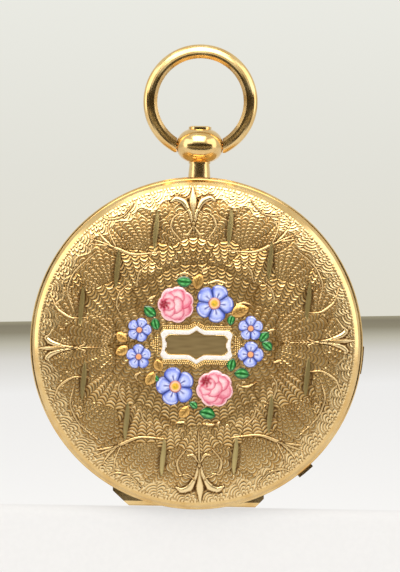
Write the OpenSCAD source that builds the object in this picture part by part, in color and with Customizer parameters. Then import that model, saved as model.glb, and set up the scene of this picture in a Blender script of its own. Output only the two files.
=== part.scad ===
// Full hunter pocket watch, key wound, upright on its hinge with the front cover facing -Y.
// Every case and movement piece is drawn in the dial frame: x to 3, y to 12, z out of the dial.

/* [Case] */
// Outside diameter of both covers
case_d = 38; // [37:0.5:42]
// Height of the band between the two covers
band_h = 4.2; // [4:0.1:4.8]
// How far each cover rises above the band
dome_h = 3.6; // [3.5:0.1:4.4]
// Thickness of the covers' metal
cover_t = 0.4; // [0.3:0.05:0.5]
// Squareness of the covers' shoulder, 2 for an ellipse
shoulder = 2.8; // [2.4:0.1:3.4]
// Width of the covers' snap rim
rim_w = 0.65; // [0.6:0.05:0.75]
// Radius of the flat middle of a cover
flat_r = 9.7; // [9.5:0.1:11]
// Thickness of the cuvette
cuvette_t = 0.3; // [0.25:0.05:0.35]

/* [Hinges] */
// Radius of a hinge knuckle
knuckle_r = 0.6; // [0.55:0.05:0.65]
// Half the length of each hinge
hinge_half = 7; // [6.5:0.1:8]
// Half the length of the front cover's knuckle
cover_knuckle = 3.1; // [2.6:0.1:3.6]
// Half the length of the cuvette's knuckle
cuvette_knuckle = 1.2; // [1:0.1:1.6]
// Radius of the hinge pins
pin_r = 0.28; // [0.24:0.02:0.32]
// How far the hinges lie inside the covers' edge
hinge_in = 0.25; // [0.2:0.05:0.3]
// Thickness of the thumb lips
lip_t = 0.35; // [0.3:0.05:0.5]

/* [Pendant and bow] */
// Height of the ball's centre above the case's centre
ball_up = 22.6; // [22.4:0.1:24]
// Greatest radius of the ball
ball_r = 2.7; // [2.6:0.05:3]
// Half the height of the ball
ball_half = 1.95; // [1.85:0.05:2.1]
// Radius of the neck where it leaves the ball
neck_r = 1.1; // [1:0.05:1.2]
// Radius of the neck at the case
neck_base_r = 1.35; // [1.3:0.05:1.5]
// Outside diameter of the bow
bow_d = 13.1; // [12.5:0.1:14]
// Width of the bow's bar
bow_w = 1.6; // [1.4:0.05:1.7]
// Thickness of the bow's bar
bow_t = 1.5; // [1.3:0.05:1.6]
// Height of the bow's centre above the ball's centre
bow_up = 5.05; // [5:0.05:5.4]
// Radius of the bow's pivots
pivot_r = 0.45; // [0.4:0.05:0.55]
// Radius of the push button's cap
cap_r = 1.3; // [1.2:0.05:1.4]
// Radius of the push button's stem
stem_r = 0.55; // [0.5:0.05:0.6]
// Travel of the push button
push = 0.45; // [0.35:0.05:0.5]

/* [Dial and hands] */
// Thickness of the enamel dial
dial_t = 0.45; // [0.4:0.05:0.5]
// Length of the minute hand
minute_len = 12.6; // [11:0.2:14]
// Length of the hour hand
hour_len = 8.2; // [7:0.2:9.4]
// Thickness of the crystal
glass_t = 0.7; // [0.6:0.05:0.8]
// How far the crystal's middle rises above its edge
glass_rise = 0.6; // [0.4:0.05:0.8]

/* [Movement] */
// Thickness of the main plate
plate_t = 1.6; // [1.5:0.05:1.65]
// Thickness of the bars and bridges
bar_t = 0.7; // [0.65:0.05:0.75]
// Width of the bars
bar_w = 2.4; // [2:0.1:2.8]
// Radius of the balance
balance_r = 4.5; // [4:0.1:4.7]
// Side of the winding and setting squares
square_w = 0.95; // [0.9:0.05:1.05]
// Radius of the train's arbors
arbor_r = 0.2; // [0.16:0.02:0.24]
// Radius of a movement screw's head
screw_head_r = 0.55; // [0.45:0.05:0.65]
// Running clearance of pivots, pins and pipes
play = 0.05; // [0.03:0.01:0.07]

/* [Hidden] */
$fn = 64;

// A little more than nothing, for cuts that run past a face
over = 0.1;
// Gap between a moving cover and the band
lid_gap = 0.05;
// Gap round a moving knuckle
knuckle_gap = 0.1;

case_r = case_d / 2;
zb = band_h / 2;
rim_in = case_r - rim_w;
dome_r = case_r - 0.22;
bead_h = 0.7;
hinge_y = -(case_r - hinge_in - knuckle_r);
hinge_z = zb - lid_gap - knuckle_r;

// Levels through the watch, in the dial frame
plate_back = -0.1;
plate_front = plate_back + plate_t;
bar_under = -1.9;
bar_top = bar_under - bar_t;
ledge_z = plate_front - 0.6;
dial_z = plate_front;
dial_top = dial_z + dial_t;
hour_z = dial_top + 0.25;
minute_z = hour_z + 0.4;
hand_t = 0.16;
spigot_h = 0.75;
pan_z = zb + spigot_h + 0.1;

// Radii round the movement
skirt_out = rim_in - 0.25;
skirt_in = skirt_out - 0.25;
spigot_r = skirt_in - 0.1;
band_in = spigot_r - 1.15;
flange_r = band_in + 0.3;
plate_r = band_in - 0.25;
channel_r = rim_in - 0.3;
band_r = case_r - 0.15;
foot_r = plate_r - 1.7;
dial_r = plate_r - 0.1;

gold = "#d9a94a";
pale_gold = "#e2c078";
steel = "#9aa0a8";
blue_steel = "#2c3e78";
gilt = "#d8b45c";
brass = "#c9a046";

// Places a piece of the dial frame in the upright watch
module in_case() {
    translate([0, 0, case_r]) rotate([90, 0, 0]) children();
}

// Turns what is drawn for the front over to the back, keeping its x
module to_back() {
    mirror([0, 0, 1]) children();
}

// A cylinder along x between two places
module rod_x(r, x0, x1, y, z) {
    translate([x0, y, z]) rotate([0, 90, 0]) cylinder(r = r, h = x1 - x0);
}

// A slab between two heights with its width and height given
module slab(x0, x1, y0, y1, z0, z1) {
    translate([x0, y0, z0]) cube([x1 - x0, y1 - y0, z1 - z0]);
}

// A ring between two heights
module ring(r_out, r_in, z0, z1) {
    difference() {
        translate([0, 0, z0]) cylinder(r = r_out, h = z1 - z0);
        translate([0, 0, z0 - over]) cylinder(r = r_in, h = z1 - z0 + 2 * over);
    }
}

// A disc or post between two heights at a place
module post(at, r, z0, z1) {
    translate([at[0], at[1], min(z0, z1)]) cylinder(r = r, h = abs(z1 - z0));
}

// A straight bar with round ends between two places
module link(a, b, w, z0, z1) {
    d = b - a;
    run = norm(d);
    post(a, w / 2, z0, z1);
    post(b, w / 2, z0, z1);
    translate([a[0], a[1], min(z0, z1)]) rotate([0, 0, atan2(d[1], d[0])])
        translate([0, -w / 2, 0]) cube([run, w, abs(z1 - z0)]);
}

function polar(r, a) = [r * cos(a), r * sin(a)];

// Case

// Outline of a cover's dome: a rounded square shoulder round a flat middle
dome_steps = 14;
function dome_z(r, rad, rise) = rise * pow(1 - pow(r / rad, shoulder), 1 / shoulder);
function dome_curve(rad, rise, z0) = [for (i = [0:dome_steps])
    let (a = 90 * i / dome_steps, r = rad * pow(cos(a), 2 / shoulder))
        if (r > flat_r) [r, z0 + dome_z(r, rad, rise)]];

flat_z = zb + bead_h + dome_z(flat_r, dome_r, dome_h - bead_h);

module cover_shell() {
    inner_r = dome_r - cover_t;
    inner_rise = dome_h - bead_h;
    outer = dome_curve(dome_r, dome_h - bead_h, zb + bead_h);
    inner = dome_curve(inner_r, inner_rise, zb + bead_h - cover_t);
    rotate_extrude() polygon(concat(
        [[rim_in, zb], [case_r - 0.1, zb], [case_r, zb + 0.15], [case_r, zb + 0.42],
            [case_r - 0.1, zb + 0.56], [case_r - 0.26, zb + 0.6]],
        outer,
        [[flat_r, flat_z], [0, flat_z], [0, flat_z - cover_t], [flat_r, flat_z - cover_t]],
        [for (i = [len(inner) - 1:-1:1]) inner[i]],
        [[inner_r, zb + 0.55], [rim_in, zb + 0.4]]));
}

// Knuckle of a moving cover, with a web that fits the band's pocket up to the level z
web_out = 0.45;
web_in = 0.1;
module cover_hinge(half, z) {
    rod_x(knuckle_r, -half, half, hinge_y, hinge_z);
    slab(-half, half, hinge_y - web_out, hinge_y + web_in, hinge_z, z);
}

// Inside of a cover's rim, made solid where the web meets it
module hinge_foot() {
    difference() {
        slab(-cover_knuckle, cover_knuckle, hinge_y - web_out, -skirt_in, zb, zb + 0.4);
        post([0, 0], skirt_out + 2 * lid_gap, zb - over, zb + 1);
    }
}

module pin_hole(half) {
    rod_x(pin_r + play, -half - over, half + over, hinge_y, hinge_z);
}

module thumb_lip(a, half) {
    rotate([0, 0, a]) intersection() {
        ring(case_r + lip_t, case_r - 0.25, zb + 0.12, zb + 0.42);
        slab(case_r - 1, case_r + 1, -half, half, zb, zb + 1);
    }
}

module front_cover() {
    color(gold) in_case() difference() {
        union() {
            cover_shell();
            cover_hinge(cover_knuckle, zb + 0.6 * lid_gap);
            hinge_foot();
            thumb_lip(-48.5, 1);
            catch_lip();
        }
        pin_hole(cover_knuckle);
    }
}

// The ledge inside the front cover's rim that the catch holds
catch_half = 1.2;
module catch_lip() {
    intersection() {
        ring(rim_in + 0.2, skirt_out - 0.15, zb + lid_gap, zb + 0.4);
        slab(-catch_half - 0.3, catch_half + 0.3, 0, case_r, zb, zb + 1);
    }
}

module back_cover() {
    color(gold) in_case() to_back() difference() {
        union() {
            cover_shell();
            cover_hinge(cover_knuckle, zb + 0.6 * lid_gap);
            hinge_foot();
            thumb_lip(-5.5, 1.6);
        }
        slab(-cuvette_knuckle - knuckle_gap, cuvette_knuckle + knuckle_gap,
            -case_r - 1, hinge_y + knuckle_r + over, hinge_z - knuckle_r - over, pan_z + cuvette_t + 0.15);
        pin_hole(cover_knuckle);
    }
}

// Inner cover: a shallow pan over the band's back spigot, with two key holes
key_hole_r = 1.1;
module cuvette() {
    color(pale_gold) in_case() to_back() difference() {
        union() {
            ring(skirt_out, skirt_in, zb + lid_gap, pan_z);
            translate([0, 0, pan_z]) cylinder(r = skirt_out, h = cuvette_t);
            slab(-cuvette_knuckle, cuvette_knuckle, hinge_y - web_out, -skirt_in, zb + lid_gap,
                pan_z + cuvette_t);
            cover_hinge(cuvette_knuckle, zb + 2 * lid_gap);
        }
        for (hole = [[0, 0], barrel_at])
            post(hole, key_hole_r, pan_z - over, pan_z + cuvette_t + over);
        pin_hole(cuvette_knuckle);
    }
}

module hinge_pin() {
    rod_x(pin_r, -hinge_half, hinge_half, hinge_y, hinge_z);
}

module front_hinge_pin() {
    color(pale_gold) in_case() hinge_pin();
}

module back_hinge_pin() {
    color(pale_gold) in_case() to_back() hinge_pin();
}

// The straight block across the bottom of the band that carries both hinges
tip_left = 2.3;
tip_right = 1;
tip_out = 0.45;
function rim_y(x) = -sqrt(case_r * case_r - x * x);
module hinge_block() {
    h = zb - lid_gap;
    left = hinge_half + tip_left;
    right = hinge_half + tip_right;
    foot_y = hinge_y - knuckle_r;
    difference() {
        intersection() {
            translate([0, 0, -h]) linear_extrude(height = 2 * h) polygon([
                [-left, rim_y(left) - tip_out], [-hinge_half - 0.4, foot_y], [hinge_half, foot_y],
                [right, rim_y(right) - tip_out], [right, rim_y(right) + tip_out],
                [hinge_half, -band_r + 2], [-hinge_half, -band_r + 2], [-left, rim_y(left) + tip_out]]);
            union() {
                slab(-case_r, case_r, hinge_y, 0, -h, h);
                slab(-case_r, case_r, hinge_y - 0.75 * knuckle_r, hinge_y + over, -hinge_z, hinge_z);
                for (z = [-hinge_z, hinge_z])
                    rod_x(knuckle_r, -case_r, case_r, hinge_y, z);
            }
        }
        post([0, 0], flange_r, -h - over, h + over);
    }
}

band_steps = 6;
module band_outline(r_in) {
    h = zb - lid_gap;
    bulge = 0.12;
    polygon(concat([[r_in, -h]],
        [for (i = [0:band_steps])
            let (a = -90 + 180 * i / band_steps) [band_r + bulge * cos(a), h * sin(a)]],
        [[r_in, h]]));
}

module case_band() {
    h = zb - lid_gap;
    color(gold) in_case() difference() {
        union() {
            difference() {
                rotate_extrude() band_outline(flange_r);
                slab(-hinge_half, hinge_half, -case_r, hinge_y, -zb, zb);
            }
            ring(spigot_r, flange_r, -zb - spigot_h, zb + spigot_h);
            ring(flange_r + over, band_in, -zb - spigot_h, ledge_z);
            hinge_block();
        }
        ring(channel_r, band_in - over, channel_low, channel_high);
        for (z = [-hinge_z, hinge_z]) {
            rod_x(knuckle_r + knuckle_gap, -cover_knuckle - knuckle_gap,
                cover_knuckle + knuckle_gap, hinge_y, z);
            rod_x(pin_r, -hinge_half - over, hinge_half + over, hinge_y, z);
        }
        translate([0, band_r - 2.6, 0]) rotate([-90, 0, 0]) cylinder(r = neck_base_r - 0.15, h = 4);
        slab(-catch_half - 0.35, catch_half + 0.2, catch_in - push - 0.1, channel_r - 0.05,
            channel_high - over, pan_z);
        for (a = [lock_angle, lift_angle])
            post(polar(spring_r, a), screw_r, channel_low - 0.7, channel_low + over);
        for (a = case_screw_angles)
            post(polar(band_in + 0.1, a), screw_head_r + 0.15, -zb - spigot_h - over, channel_low + over);
    }
}

// The groove inside the band where the springs lie
channel_low = -1.3;
channel_high = 0.5;
spring_r = channel_r - 0.8;
spring_t = 0.5;
spring_low = channel_low + 0.1;
spring_high = channel_high - 0.15;
catch_in = channel_r - 0.68;
lock_angle = 46;
lift_angle = 205;
screw_r = 0.35;
case_screw_angles = [15, 165, 285];

// A flat spring bent along the groove, from the foot under its screw to its free end
foot_h = 0.7;
module band_spring(from, to) {
    at = polar(spring_r, from);
    difference() {
        union() {
            intersection() {
                ring(spring_r + spring_t / 2, spring_r - spring_t / 2, spring_low, spring_high);
                wedge(from, to);
            }
            post(at, 0.7, spring_low, spring_low + foot_h);
        }
        post(at, screw_r + play, spring_low - over, spring_high + over);
        post(at, screw_head_r + 0.15, spring_low + foot_h, spring_high + over);
    }
}

// The part of space between two angles
module wedge(from, to) {
    far = 2 * case_r;
    mid = (from + to) / 2;
    translate([0, 0, -10]) linear_extrude(height = 20) polygon([[0, 0], polar(far, from),
        polar(far, mid), polar(far, to)]);
}

module lock_spring() {
    head_out = catch_in + 0.38;
    color(steel) in_case() {
        band_spring(lock_angle, 90 + 3.5);
        slab(-catch_half, catch_half, spring_r - spring_t / 2, head_out, spring_low, spring_high);
        slab(-catch_half, catch_half, catch_in, head_out, spring_high - over, pan_z - 0.12);
        slab(-catch_half, catch_half, catch_in, head_out + 0.15, zb + 0.45, pan_z - 0.12);
    }
}

module lift_spring() {
    color(steel) in_case() band_spring(lift_angle, 254);
}

module spring_screws() {
    color(blue_steel) in_case() for (a = [lock_angle, lift_angle]) {
        post(polar(spring_r, a), screw_r, channel_low - 0.7, spring_low + foot_h + 0.02);
        difference() {
            post(polar(spring_r, a), screw_head_r, spring_low + foot_h + 0.02, spring_low + foot_h + 0.3);
            translate([spring_r * cos(a), spring_r * sin(a), spring_low + foot_h + 0.25])
                cube([2, 0.14, 0.2], center = true);
        }
    }
}

// Pendant and bow

// Outline of the ball: a round side turned about a flat top, grown by g
module ball(g) {
    rotate([-90, 0, 0]) rotate_extrude() intersection() {
        union() {
            translate([ball_r - ball_half, 0]) circle(r = ball_half + g);
            translate([0, -ball_half - g]) square([ball_r - ball_half, 2 * (ball_half + g)]);
        }
        translate([0, -10]) square([20, 20]);
    }
}

cap_floor = ball_half - 0.6;
cap_rest = cap_floor + push + 0.05;
module pendant() {
    neck_top = ball_up - ball_half + 0.35;
    color(gold) in_case() difference() {
        union() {
            translate([0, ball_up, 0]) ball(0);
            translate([0, band_r - 0.9, 0]) rotate([-90, 0, 0])
                cylinder(r = neck_base_r - 0.15, h = 1);
            difference() {
                translate([0, band_r - 0.5, 0]) rotate([-90, 0, 0])
                    cylinder(r1 = neck_base_r, r2 = neck_r, h = neck_top - band_r + 0.5);
                rotate_extrude() band_outline(0);
            }
            translate([0, ball_up - ball_half - 0.12, 0]) rotate([-90, 0, 0])
                cylinder(r = neck_r + 0.14, h = 0.3);
        }
        translate([0, 0, 0]) rotate([-90, 0, 0]) cylinder(r = stem_r + play, h = ball_up + 5);
        translate([0, ball_up + cap_floor, 0]) rotate([-90, 0, 0])
            cylinder(r = cap_r + play + 0.02, h = 3);
        for (side = [-1, 1])
            rod_x(pivot_r + play, side > 0 ? pivot_in : -ball_r - 1,
                side > 0 ? ball_r + 1 : -pivot_in, ball_up, 0);
    }
}

module push_button() {
    stem_end = catch_in + 0.41;
    cap_y = ball_up + cap_rest;
    color(gold) in_case() {
        translate([0, stem_end, 0]) rotate([-90, 0, 0]) cylinder(r = stem_r, h = cap_y - stem_end + 0.1);
        translate([0, cap_y, 0]) rotate([-90, 0, 0]) cylinder(r = cap_r, h = 0.28);
        translate([0, cap_y + 0.28, 0]) rotate([-90, 0, 0]) cylinder(r1 = cap_r, r2 = cap_r - 0.25, h = 0.12);
    }
}

// Half the outline of the bow's bar: a narrow bevel inside the ring, one wide round outside it
bow_bevel = 0.35;
bow_steps = 8;
function bow_side(side) = [for (i = [0:bow_steps]) let (a = 90 * (side > 0 ? i : bow_steps - i) / bow_steps)
    [-bow_w / 2 + bow_bevel + (bow_w - bow_bevel) * sin(a), side * bow_t / 2 * cos(a)]];

pivot_in = ball_r - 0.95;
bow_end = -0.8;
module bow() {
    color(gold) in_case() translate([0, ball_up, 0]) {
        difference() {
            translate([0, bow_up, 0]) rotate_extrude($fn = 96) translate([bow_d / 2 - bow_w / 2, 0])
                polygon(concat([[-bow_w / 2, bow_t / 2 - bow_bevel]], bow_side(1), bow_side(-1),
                    [[-bow_w / 2, bow_bevel - bow_t / 2]]));
            sphere(r = ball_r + 0.06);
            slab(-ball_r - 2, ball_r + 2, -ball_r - 3, bow_end, -3, 3);
        }
        for (side = [-1, 1])
            rod_x(pivot_r, side > 0 ? pivot_in + 0.05 : -ball_r - 0.6,
                side > 0 ? ball_r + 0.6 : -pivot_in - 0.05, 0, 0);
    }
}

// Enamel and gold wreath on the front cover

enamel_z = flat_z;
// Place, turn and number of petals of each blue flower
large_flowers = [[2.05, 4.65, 10, 6], [-2.35, -4.9, 25, 5]];
small_flowers = [[-6.5, 1.7, 0, 5], [-6.5, -1.5, 30, 5], [6.25, 1.85, 15, 5], [6.25, -1.3, 40, 5]];
rose_places = [[-2.4, 4.55], [2.05, -5.1]];
large_flower_r = 2.1;
small_flower_r = 1.38;
rose_r = 1.9;

module petal_ring(at, r, h) {
    petals = at[3];
    petal_r = 2.15 / petals * r;
    translate([at[0], at[1], enamel_z]) rotate([0, 0, at[2]]) for (i = [0:petals - 1])
        rotate([0, 0, i * 360 / petals]) translate([r - petal_r, 0, 0])
            cylinder(r1 = petal_r, r2 = 0.8 * petal_r, h = h);
    translate([at[0], at[1], enamel_z]) cylinder(r = 0.45 * r, h = 0.7 * h);
}

module blue_flowers() {
    color("#6f86dc") in_case() difference() {
        union() {
            for (f = large_flowers)
                petal_ring(f, large_flower_r, 0.26);
            for (f = small_flowers)
                petal_ring(f, small_flower_r, 0.22);
        }
        for (f = large_flowers)
            post(f, 0.2 * large_flower_r, enamel_z - over, enamel_z + 1);
        for (f = small_flowers)
            post(f, 0.2 * small_flower_r, enamel_z - over, enamel_z + 1);
    }
}

module flower_hearts() {
    color("#e8c020") in_case() {
        for (f = large_flowers)
            heart(f, 0.2 * large_flower_r, 0.34);
        for (f = small_flowers)
            heart(f, 0.2 * small_flower_r, 0.29);
    }
}

module heart(at, r, h) {
    translate([at[0], at[1], enamel_z]) cylinder(r = r, h = 0.7 * h);
    translate([at[0], at[1], enamel_z + 0.7 * h]) cylinder(r1 = r, r2 = 0.5 * r, h = 0.3 * h);
}

module roses() {
    color("#e89aae") in_case() for (p = rose_places)
        translate([p[0], p[1], enamel_z]) {
            for (i = [0:5])
                rotate([0, 0, i * 60]) translate([0.48 * rose_r, 0, 0])
                    cylinder(r1 = 0.5 * rose_r, r2 = 0.4 * rose_r, h = 0.2);
            for (i = [0:3])
                rotate([0, 0, 20 + i * 90]) translate([0.3 * rose_r, 0, 0])
                    cylinder(r1 = 0.4 * rose_r, r2 = 0.3 * rose_r, h = 0.29);
            cylinder(r1 = 0.4 * rose_r, r2 = 0.25 * rose_r, h = 0.38);
        }
}

// Place, angle and length of each leaf of the wreath
green_places = [[-1.5, 7.25, 165, 1.9], [-5.3, 3.75, 130, 1.9], [-4.75, 2.6, 200, 1.5],
    [7.95, 1.15, 40, 1.5], [8.15, -0.45, -20, 1.5], [4, -2.65, 195, 1.6],
    [5.35, -3.7, -20, 1.7], [1.3, -8, -15, 1.9], [-0.3, -7, 70, 1.1]];
gold_places = [[0.2, 7.35, 75, 1.8], [5.15, 3.8, 50, 2], [-8.5, 0.8, 165, 1.4],
    [-8.5, -0.65, 195, 1.4], [-4.5, -2.7, 160, 1.3], [-5.4, -4, 215, 1.9],
    [-1.35, -8.05, 200, 1.6]];

// A pointed leaf: the overlap of two discs
module leaf(p, h) {
    len = p[3];
    half_w = 0.3 * len;
    bend = (len * len / 4 + half_w * half_w) / (2 * half_w);
    translate([p[0], p[1], enamel_z]) rotate([0, 0, p[2]]) intersection() {
        translate([0, bend - half_w, 0]) cylinder(r = bend, h = h);
        translate([0, half_w - bend, 0]) cylinder(r = bend, h = h);
    }
}

module green_leaves() {
    color("#1f8a3c") in_case() for (p = green_places)
        leaf(p, 0.18);
}

module gold_leaves() {
    color(pale_gold) in_case() for (p = gold_places)
        leaf(p, 0.2);
}

// White frame round the bare panel: bracket sides, a point above and below
frame_w = 8.1;
frame_h = 3.7;
frame_edge = 0.6;
module cartouche_plan(g, h) {
    w = frame_w / 2 + g;
    t = frame_h / 2 + g;
    notch = 0.62;
    difference() {
        linear_extrude(height = h) polygon([[-w, -t], [-1.1, -t], [0, -t - 0.35], [1.1, -t],
            [w, -t], [w, t], [1.1, t], [0, t + 0.35], [-1.1, t], [-w, t]]);
        for (x = [-w, w])
            for (y = [-t, t])
                translate([x, y, -over]) cylinder(r = notch, h = h + 2 * over);
    }
}

module cartouche() {
    color("#f4f1ec") in_case() translate([0, 0, enamel_z]) difference() {
        cartouche_plan(0, 0.16);
        translate([0, 0, -over]) cartouche_plan(-frame_edge, 0.16 + 2 * over);
    }
}

// Bezel, crystal, dial and hands

glass_seat = 15.6 / 19 * case_r;
bezel_top = pan_z + 0.4;
module bezel() {
    color(gold) in_case() difference() {
        union() {
            ring(skirt_out, skirt_in, zb + lid_gap, pan_z + 0.05);
            rotate_extrude() polygon([[glass_seat - 0.35, pan_z], [skirt_out, pan_z],
                [skirt_out, pan_z + 0.15], [skirt_out - 0.5, bezel_top], [glass_seat, bezel_top],
                [glass_seat, pan_z + 0.2], [glass_seat - 0.35, pan_z + 0.2]]);
        }
        slab(-catch_half - 0.7, catch_half + 0.6, 10, case_r, zb, pan_z - 0.02);
    }
}

glass_steps = 8;
module crystal() {
    base = pan_z + 0.2;
    bend = (glass_seat * glass_seat + glass_rise * glass_rise) / (2 * glass_rise);
    color([0.85, 0.92, 0.95, 0.35]) in_case() rotate_extrude() polygon(concat(
        [[0, base + glass_rise], [0, base + glass_rise + glass_t]],
        [for (i = [1:glass_steps]) let (r = glass_seat * i / glass_steps)
            [r, base + glass_t + glass_drop(r, bend)]],
        [for (i = [glass_steps:-1:1]) let (r = glass_seat * i / glass_steps)
            [r, base + glass_drop(r, bend)]]));
}
function glass_drop(r, bend) = sqrt(bend * bend - r * r) - (bend - glass_rise);

dial_hole = 0.95;
dial_feet = [80, 205, 325];
module dial() {
    color("#f5f3ec") in_case() {
        difference() {
            post([0, 0], dial_r, dial_z, dial_top);
            post([0, 0], dial_hole, dial_z - over, dial_top + over);
        }
        for (a = dial_feet)
            post(polar(dial_r - 1.6, a), 0.3, dial_z - 0.7, dial_z + 0.1);
    }
}

module hour_hand() {
    eye = hour_len * 0.62;
    color(blue_steel) in_case() difference() {
        union() {
            post([0, 0], 1.05, hour_z, hour_z + hand_t);
            link([0, 0], polar(hour_len - 0.6, 60), 0.3, hour_z, hour_z + hand_t);
            post(polar(eye, 60), 0.85, hour_z, hour_z + hand_t);
            translate([0, 0, hour_z]) rotate([0, 0, 60]) linear_extrude(height = hand_t)
                polygon([[eye + 0.5, -0.5], [hour_len, 0], [eye + 0.5, 0.5]]);
        }
        post(polar(eye, 60), 0.5, hour_z - over, hour_z + 1);
        post([0, 0], hour_pipe_r, hour_z - over, hour_z + 1);
    }
}

module minute_hand() {
    eye = minute_len * 0.7;
    color(blue_steel) in_case() difference() {
        union() {
            post([0, 0], 0.8, minute_z, minute_z + hand_t);
            link([0, 0], polar(minute_len - 0.6, -60), 0.26, minute_z, minute_z + hand_t);
            post(polar(eye, -60), 0.7, minute_z, minute_z + hand_t);
            translate([0, 0, minute_z]) rotate([0, 0, -60]) linear_extrude(height = hand_t)
                polygon([[eye + 0.4, -0.36], [minute_len, 0], [eye + 0.4, 0.36]]);
        }
        post(polar(eye, -60), 0.4, minute_z - over, minute_z + 1);
        post([0, 0], cannon_pipe_r, minute_z - over, minute_z + 1);
    }
}

// Wheels

// Outline of a toothed wheel with straight-sided teeth; fill is the tooth's share of the pitch
module teeth(n, m, phase, fill) {
    pitch = 360 / n;
    root = n * m / 2 - 1.15 * m;
    tip = n * m / 2 + 0.85 * m;
    wide = fill * pitch / 2 * 1.25;
    narrow = fill * pitch / 2 * 0.5;
    polygon([for (i = [0:n - 1], k = [0:3])
        let (a = phase + i * pitch + [-wide, -narrow, narrow, wide][k], r = k == 0 || k == 3 ? root : tip)
            polar(r, a)]);
}

module toothed(at, n, m, phase, z0, z1, fill = 0.42) {
    translate([at[0], at[1], min(z0, z1)]) linear_extrude(height = abs(z1 - z0)) teeth(n, m, phase, fill);
}

// Angle of a wheel's first tooth that meshes it with the wheel it meets in direction a
function mesh_phase(phase, n, next_n, a) = a + 180 - 360 / next_n * (0.5 - (a - phase) * n / 360);

// A train wheel: toothed rim, four arms and a hub
module train_wheel(at, n, m, phase, z0, z1) {
    inner = n * m / 2 - 1.15 * m - 0.3;
    difference() {
        toothed(at, n, m, phase, z0, z1);
        post(at, inner, z0 - over, z1 + over);
    }
    for (a = [0, 90])
        translate([at[0], at[1], (z0 + z1) / 2]) rotate([0, 0, phase + a])
            cube([2 * inner + 0.2, 0.35, abs(z1 - z0)], center = true);
    post(at, 0.65, z0, z1);
}

// Tooth counts and modules of the train
barrel_n = 60;
barrel_m = 0.18;
centre_leaves = 8;
centre_n = 64;
centre_m = 0.13;
third_leaves = 8;
third_n = 60;
third_m = 0.12;
fourth_leaves = 8;
fourth_n = 60;
fourth_m = 0.11;
escape_leaves = 6;
escape_n = 15;
escape_r = 2.15;

function reach(n, leaves, m) = (n + leaves) * m / 2;
barrel_dir = 35;
third_dir = 180;
fourth_dir = 270;
escape_dir = 310;
balance_dir = 300;
barrel_at = polar(reach(barrel_n, centre_leaves, barrel_m), barrel_dir);
third_at = polar(reach(centre_n, third_leaves, centre_m), third_dir);
fourth_at = third_at + polar(reach(third_n, fourth_leaves, third_m), fourth_dir);
escape_at = fourth_at + polar(reach(fourth_n, escape_leaves, fourth_m), escape_dir);
cylinder_r = 0.28;
balance_at = escape_at + polar(escape_r + cylinder_r + 0.1, balance_dir);

centre_pinion_phase = mesh_phase(0, barrel_n, centre_leaves, barrel_dir + 180);
third_pinion_phase = mesh_phase(0, centre_n, third_leaves, third_dir);
fourth_pinion_phase = mesh_phase(0, third_n, fourth_leaves, fourth_dir);
escape_pinion_phase = mesh_phase(0, fourth_n, escape_leaves, escape_dir);

// Levels of the train between the plate and the bars
centre_z = [-1.7, -1.5];
third_z = [-1.1, -0.92];
fourth_z = [-0.36, -0.2];
escape_z = [-0.62, -0.5];
balance_z = [-1.6, -1.32];
escape_bar_z = [-0.75, -1.2];
barrel_low = 0.4;
barrel_high = -1.2;
barrel_r = barrel_n * barrel_m / 2 - 1.15 * barrel_m;

// An arbor with its thinner pivots in the plate and the bar
module arbor(at, low, high, top = bar_top) {
    post(at, arbor_r, low, high);
    post(at, pivot_hole_r - play, low, plate_back + 0.45);
    post(at, pivot_hole_r - play, high, top + 0.1);
}
pivot_hole_r = 0.17;

module barrel() {
    color(brass) in_case() translate([barrel_at[0], barrel_at[1], 0]) difference() {
        union() {
            post([0, 0], barrel_r, barrel_high, barrel_low);
            toothed([0, 0], barrel_n, barrel_m, 0, -0.95, -0.6);
        }
        post([0, 0], barrel_r - 0.35, barrel_high + 0.25, barrel_low - 0.25);
        post([0, 0], barrel_arbor_r + play, barrel_high - over, barrel_low + over);
    }
}

barrel_arbor_r = 0.6;
core_r = 1.1;

// A flat spiral strip of given turns, from one radius to another
module spiral(r0, r1, turns, w, steps) {
    count = turns * steps;
    polygon(concat(
        [for (i = [0:count]) polar(r0 + (r1 - r0) * i / count - w / 2, i * 360 / steps)],
        [for (i = [count:-1:0]) polar(r0 + (r1 - r0) * i / count + w / 2, i * 360 / steps)]));
}

module mainspring() {
    color(blue_steel) in_case() translate([barrel_at[0], barrel_at[1], barrel_high + 0.3])
        linear_extrude(height = barrel_low - barrel_high - 0.6)
            spiral(core_r + 0.25, barrel_r - 0.5, 6, 0.16, 20);
}

square_top = -(pan_z + cuvette_t - play);
module winding_arbor() {
    color(steel) in_case() {
        post(barrel_at, barrel_arbor_r, barrel_low + 0.35, ratchet_floor);
        post(barrel_at, core_r, barrel_high + 0.3, barrel_low - 0.3);
        squared(barrel_at, ratchet_floor, square_top);
    }
}

// A square of the key's size, grown all round by g
module squared(at, z0, z1, g = 0) {
    half = square_w / 2 + g;
    slab(at[0] - half, at[0] + half, at[1] - half, at[1] + half, min(z0, z1), max(z0, z1));
}

ratchet_n = 24;
ratchet_r = 1.75;
ratchet_floor = bar_top + 0.28;
module ratchet_wheel() {
    pitch = 360 / ratchet_n;
    color(steel) in_case() difference() {
        translate([barrel_at[0], barrel_at[1], bar_top]) linear_extrude(height = 0.26)
            polygon([for (i = [0:ratchet_n - 1], k = [0, 1])
                polar(k == 0 ? ratchet_r : ratchet_r - 0.22, i * pitch + k * 1.5)]);
        squared(barrel_at, bar_top - over, ratchet_floor + over, 0.01);
    }
}

click_at = barrel_at + polar(3.1, 20);
click_tip = barrel_at + polar(ratchet_r + 0.22, 62);
module click() {
    color(steel) in_case() difference() {
        union() {
            post(click_at, 0.6, bar_top, bar_top + 0.26);
            link(click_at, click_tip, 0.32, bar_top, bar_top + 0.26);
        }
        post(click_at, click_pin_r + play, bar_top - over, bar_top + 1);
    }
}
click_pin_r = 0.25;

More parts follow.
